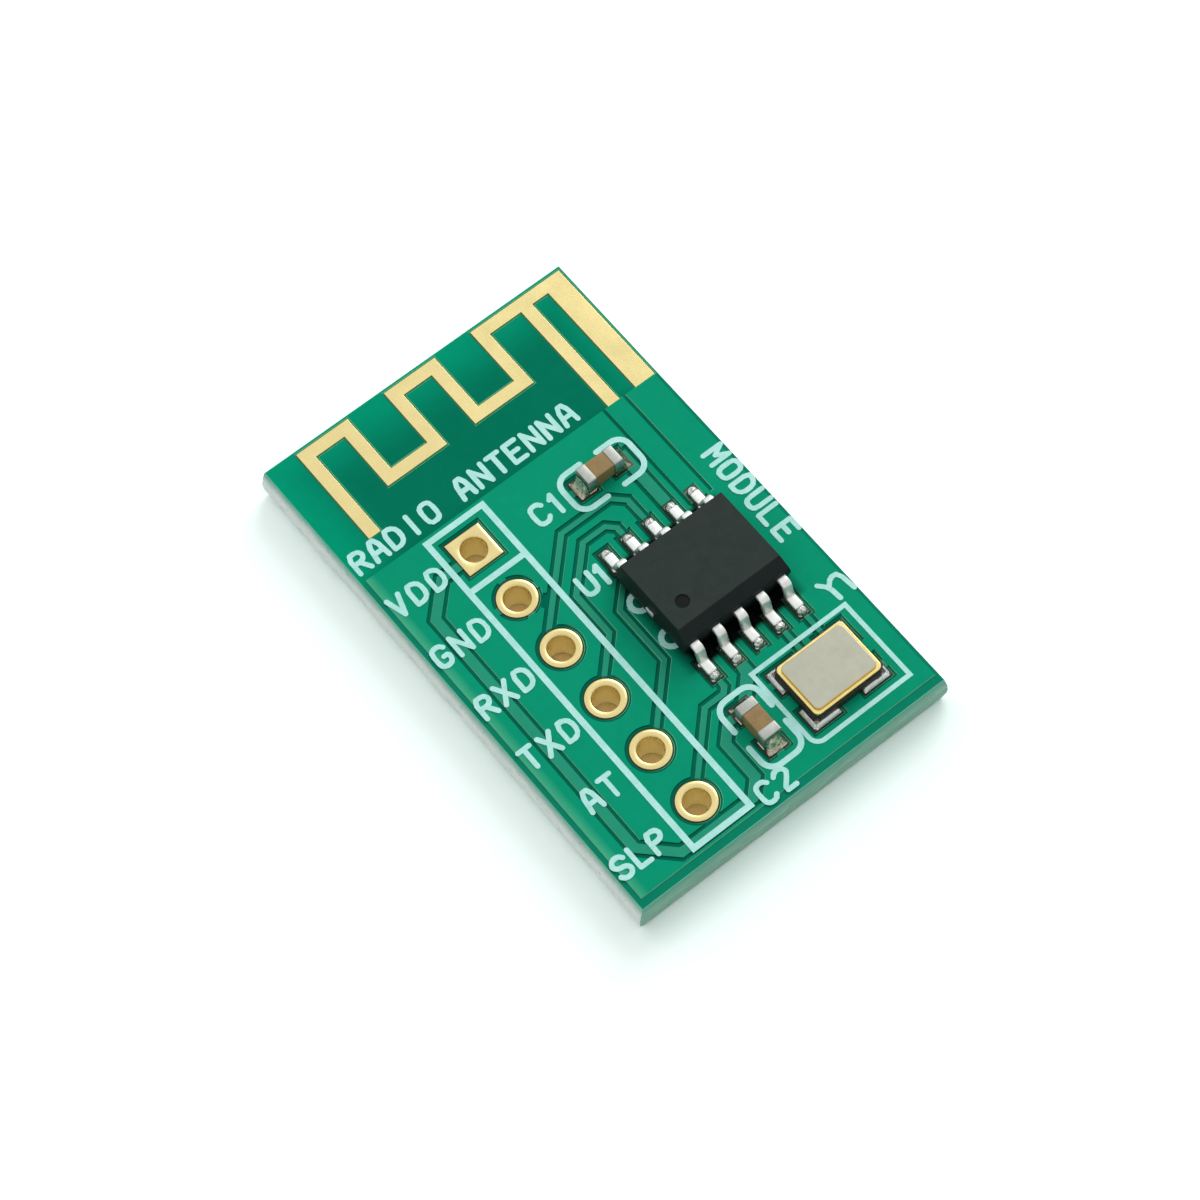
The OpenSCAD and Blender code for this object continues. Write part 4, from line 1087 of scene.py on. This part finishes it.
def skin(x, y, land, metal, rise, swell, notch):
    (x0, y0, _), (x1, y1, _) = land
    corner = min(CORNER, 0.45 * (x1 - x0), 0.45 * (y1 - y0))
    dx = max(metal[0].x - x, 0, x - metal[1].x)
    dy = max(metal[0].y - y, 0, y - metal[1].y)
    inside = (corner - min(x - x0, x1 - x), corner - min(y - y0, y1 - y))
    to_rim = corner - (math.hypot(*inside) if min(inside) > 0 else max(inside))
    room_x = metal[0].x - x0 if x < metal[0].x else x1 - metal[1].x
    room_y = metal[0].y - y0 if y < metal[0].y else y1 - metal[1].y
    away = math.hypot(dx, dy)
    lean = dx / (dx + dy) if away else 0.5
    top = lean * min(rise, CLIMB * max(room_x, 0)) + (1 - lean) * min(rise, CLIMB * max(room_y, 0))
    span = away + max(to_rim, 0)
    t = away / span if span > 1e-9 else 1.0
    height = top * ((1 - swell) * (1 - t) ** 2 + swell * (1 - t * t)) * max(0, min(1, to_rim / RIM_FADE))
    if notch and min(dx, dy) > 0:
        height *= 1 - notch * min(1, NOTCH_SLOPE * min(dx, dy) / max(dx, dy))
    return height


def toe_drop(x, y, land, metal, drop):
    (x0, y0, _), (x1, y1, _) = land
    tip, end = (metal[1].y, y1) if y1 - metal[1].y > metal[0].y - y0 else (metal[0].y, y0)
    u = (x - (x0 + x1) / 2) / ((x1 - x0) / 2)
    v = (y - (TOE_REACH * tip + (1 - TOE_REACH) * end)) / (TOE_REACH * abs(end - tip))
    return drop * max(0, 1 - u * u - v * v) ** TOE_SWELL


sample_land = (Vector((0, 0, 0)), Vector((1, 1, 0)))
sample_metal = (Vector((0.4, 0.4)), Vector((0.6, 0.6)))
for kind, swell in (("hollow", 0), ("swollen", 1)):
    height = skin(0.2, 0.5, sample_land, sample_metal, 0.1, swell, 0)
    print(f"a {kind} skin 0.1 mm high is {height:.3f} mm high half way to its rim")

# %% [markdown]
# ## Solder that has flowed: the pieces
# The grid's points take their height from the skin, with a little noise, and a face on the underside closes
# it. Beneath the metal the solder is a thin even layer. Points at the rim sink slightly below the land, so
# that no pale line shows round the joint.

# %% Solder pieces
COLUMNS = 20
ROWS = 36
UNDER_METAL = 0.028
UNEVEN = 0.18
RIM_SINK = 0.004


def heap(bm, land, metal, rise, swell, drop, notch):
    (x0, y0, base), (x1, y1, _) = land
    grid = []
    for i in range(COLUMNS + 1):
        x = x0 + (x1 - x0) * i / COLUMNS
        column = []
        for j in range(ROWS + 1):
            y = y0 + (y1 - y0) * j / ROWS
            height = skin(x, y, land, metal, rise, swell, notch)
            if drop:
                height = max(height, toe_drop(x, y, land, metal, drop))
            if min(x - metal[0].x, metal[1].x - x, y - metal[0].y, metal[1].y - y) > 0.02:
                height = UNDER_METAL
            height *= 1 + UNEVEN * noise.noise(Vector((9 * x, 9 * y, 1)))
            sink = RIM_SINK if height < RIM_SINK / 2 else 0
            column.append(bm.verts.new(Vector((x, y, base + height - sink)) * MM))
        grid.append(column)
    for left, right in zip(grid, grid[1:]):
        for j in range(ROWS):
            bm.faces.new((left[j], right[j], right[j + 1], left[j + 1]))
    near, far = [c[0] for c in grid], [c[-1] for c in reversed(grid[:-1])]
    rim = near + grid[-1][1:] + far + grid[0][-2:0:-1]
    bm.faces.new(rim[::-1])


def solder_piece(name, node, metal_of, rise, swell, one_finish, drop=0, notch=0):
    bm = bmesh.new()
    for land in joints(node):
        heap(bm, land, metal_of(land), rise, swell, drop, notch)
    bmesh.ops.recalc_face_normals(bm, faces=bm.faces)
    return new_piece(name, bm, [one_finish], "solder", node, crease=75)


print("each joint's grid has", (COLUMNS + 1) * (ROWS + 1), "points")

# %% [markdown]
# ## Solder at the chip's leads
# Each lead stands with a flat foot on its land. The solder makes a low fillet along the foot's sides and a
# rounder drop at its toe. The foot's outline comes from the lead's own lowest points, so the solder meets
# the metal wherever the CAD puts it, and a row could be moved without a change here.

# %% Solder at the leads
def foot_at(land):
    middle = (land[0] + land[1]) / 2
    for number in LEADS:
        points = [v.co / MM for v in cad[f"ic_lead_{number}"].data.vertices]
        ground = min(p.z for p in points)
        flat = [p for p in points if p.z < ground + 0.001]
        foot = [Vector((pick(p.x for p in flat), pick(p.y for p in flat))) for pick in (min, max)]
        if foot[0].x < middle.x < foot[1].x and foot[0].y - 0.6 < middle.y < foot[1].y + 0.6:
            return foot


solder_piece("solder_low_row", "ic_solder_low_row", foot_at, 0.12, 0.4, bright_solder, drop=0.22)
solder_piece("solder_high_row", "ic_solder_high_row", foot_at, 0.12, 0.4, bright_solder, drop=0.22)

# %% [markdown]
# ## Crystal
# A black ceramic tray holds the quartz, a gold-plated ring is brazed on it and a nickel lid is welded to
# the ring. Their shapes are right in CAD, so all three are rounded copies, and the lid's side takes the dark
# gold of the weld. The solder climbs only the outer sides of the tray's corners, as satin drops with a notch
# where the two sides meet.

# %% Crystal
rounded_piece("crystal_tray", "crystal_base", 0.025, black_ceramic, "dark_ceramic")
rounded_piece("crystal_ring", "crystal_seal_ring", 0.03, ring_gold, "gold_plate", 3)
bm = round_copy("crystal_lid", 0.035, 3)
for face in bm.faces:
    face.material_index = int(abs(face.normal.z) < 0.8)
new_piece("crystal_cover", bm, (lid_nickel, weld_gold), "lid_metal", "crystal_lid")
tray = [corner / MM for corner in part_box("crystal_base")]
solder_piece("solder_crystal", "crystal_solder", lambda land: tray, 0.16, 1.0, satin_solder, notch=1.0)
dress({"crystal_blank": quartz_blank, "crystal_glue": silver_glue, "crystal_terminals": gold_plate})

# %% [markdown]
# ## Capacitors
# A chip capacitor is a brown ceramic brick with a tinned cap on each end. The caps are dipped, so they are
# as round as the brick inside. Each of these is a rounded copy again. Solder climbs the caps' outer faces as
# a hollow fillet, and each land takes the cap whose middle is nearest.

# %% Capacitors
def nearest_cap(caps):
    def away(cap, land):
        return ((cap[0] + cap[1]) / 2 - (land[0] + land[1]) / 2).length

    return lambda land: min(caps, key=lambda cap: away(cap, land))


for name in ("c1", "c2"):
    rounded_piece(f"{name}_brick", f"{name}_body", 0.03, brown_ceramic, "tan_ceramic", 3)
    for end in ("a", "b"):
        rounded_piece(f"{name}_cap_{end}", f"{name}_terminal_{end}", 0.028, cap_tin, "tinned_metal", 3)
    caps = [[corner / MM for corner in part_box(f"{name}_terminal_{end}")] for end in ("a", "b")]
    solder_piece(f"solder_{name}", f"{name}_solder", nearest_cap(caps), 0.62, 0.2, cap_solder)

# %% [markdown]
# ## Sizes and the end
# The finished model should be as large as the CAD model, apart from the torn sides.

# %% Sizes and the end
shown_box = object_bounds()
apart = max(abs(shown[i] - held[i]) for shown, held in zip(shown_box, cad_box) for i in range(3))
print(f"the two boxes are at most {apart / MM:.2f} mm apart")
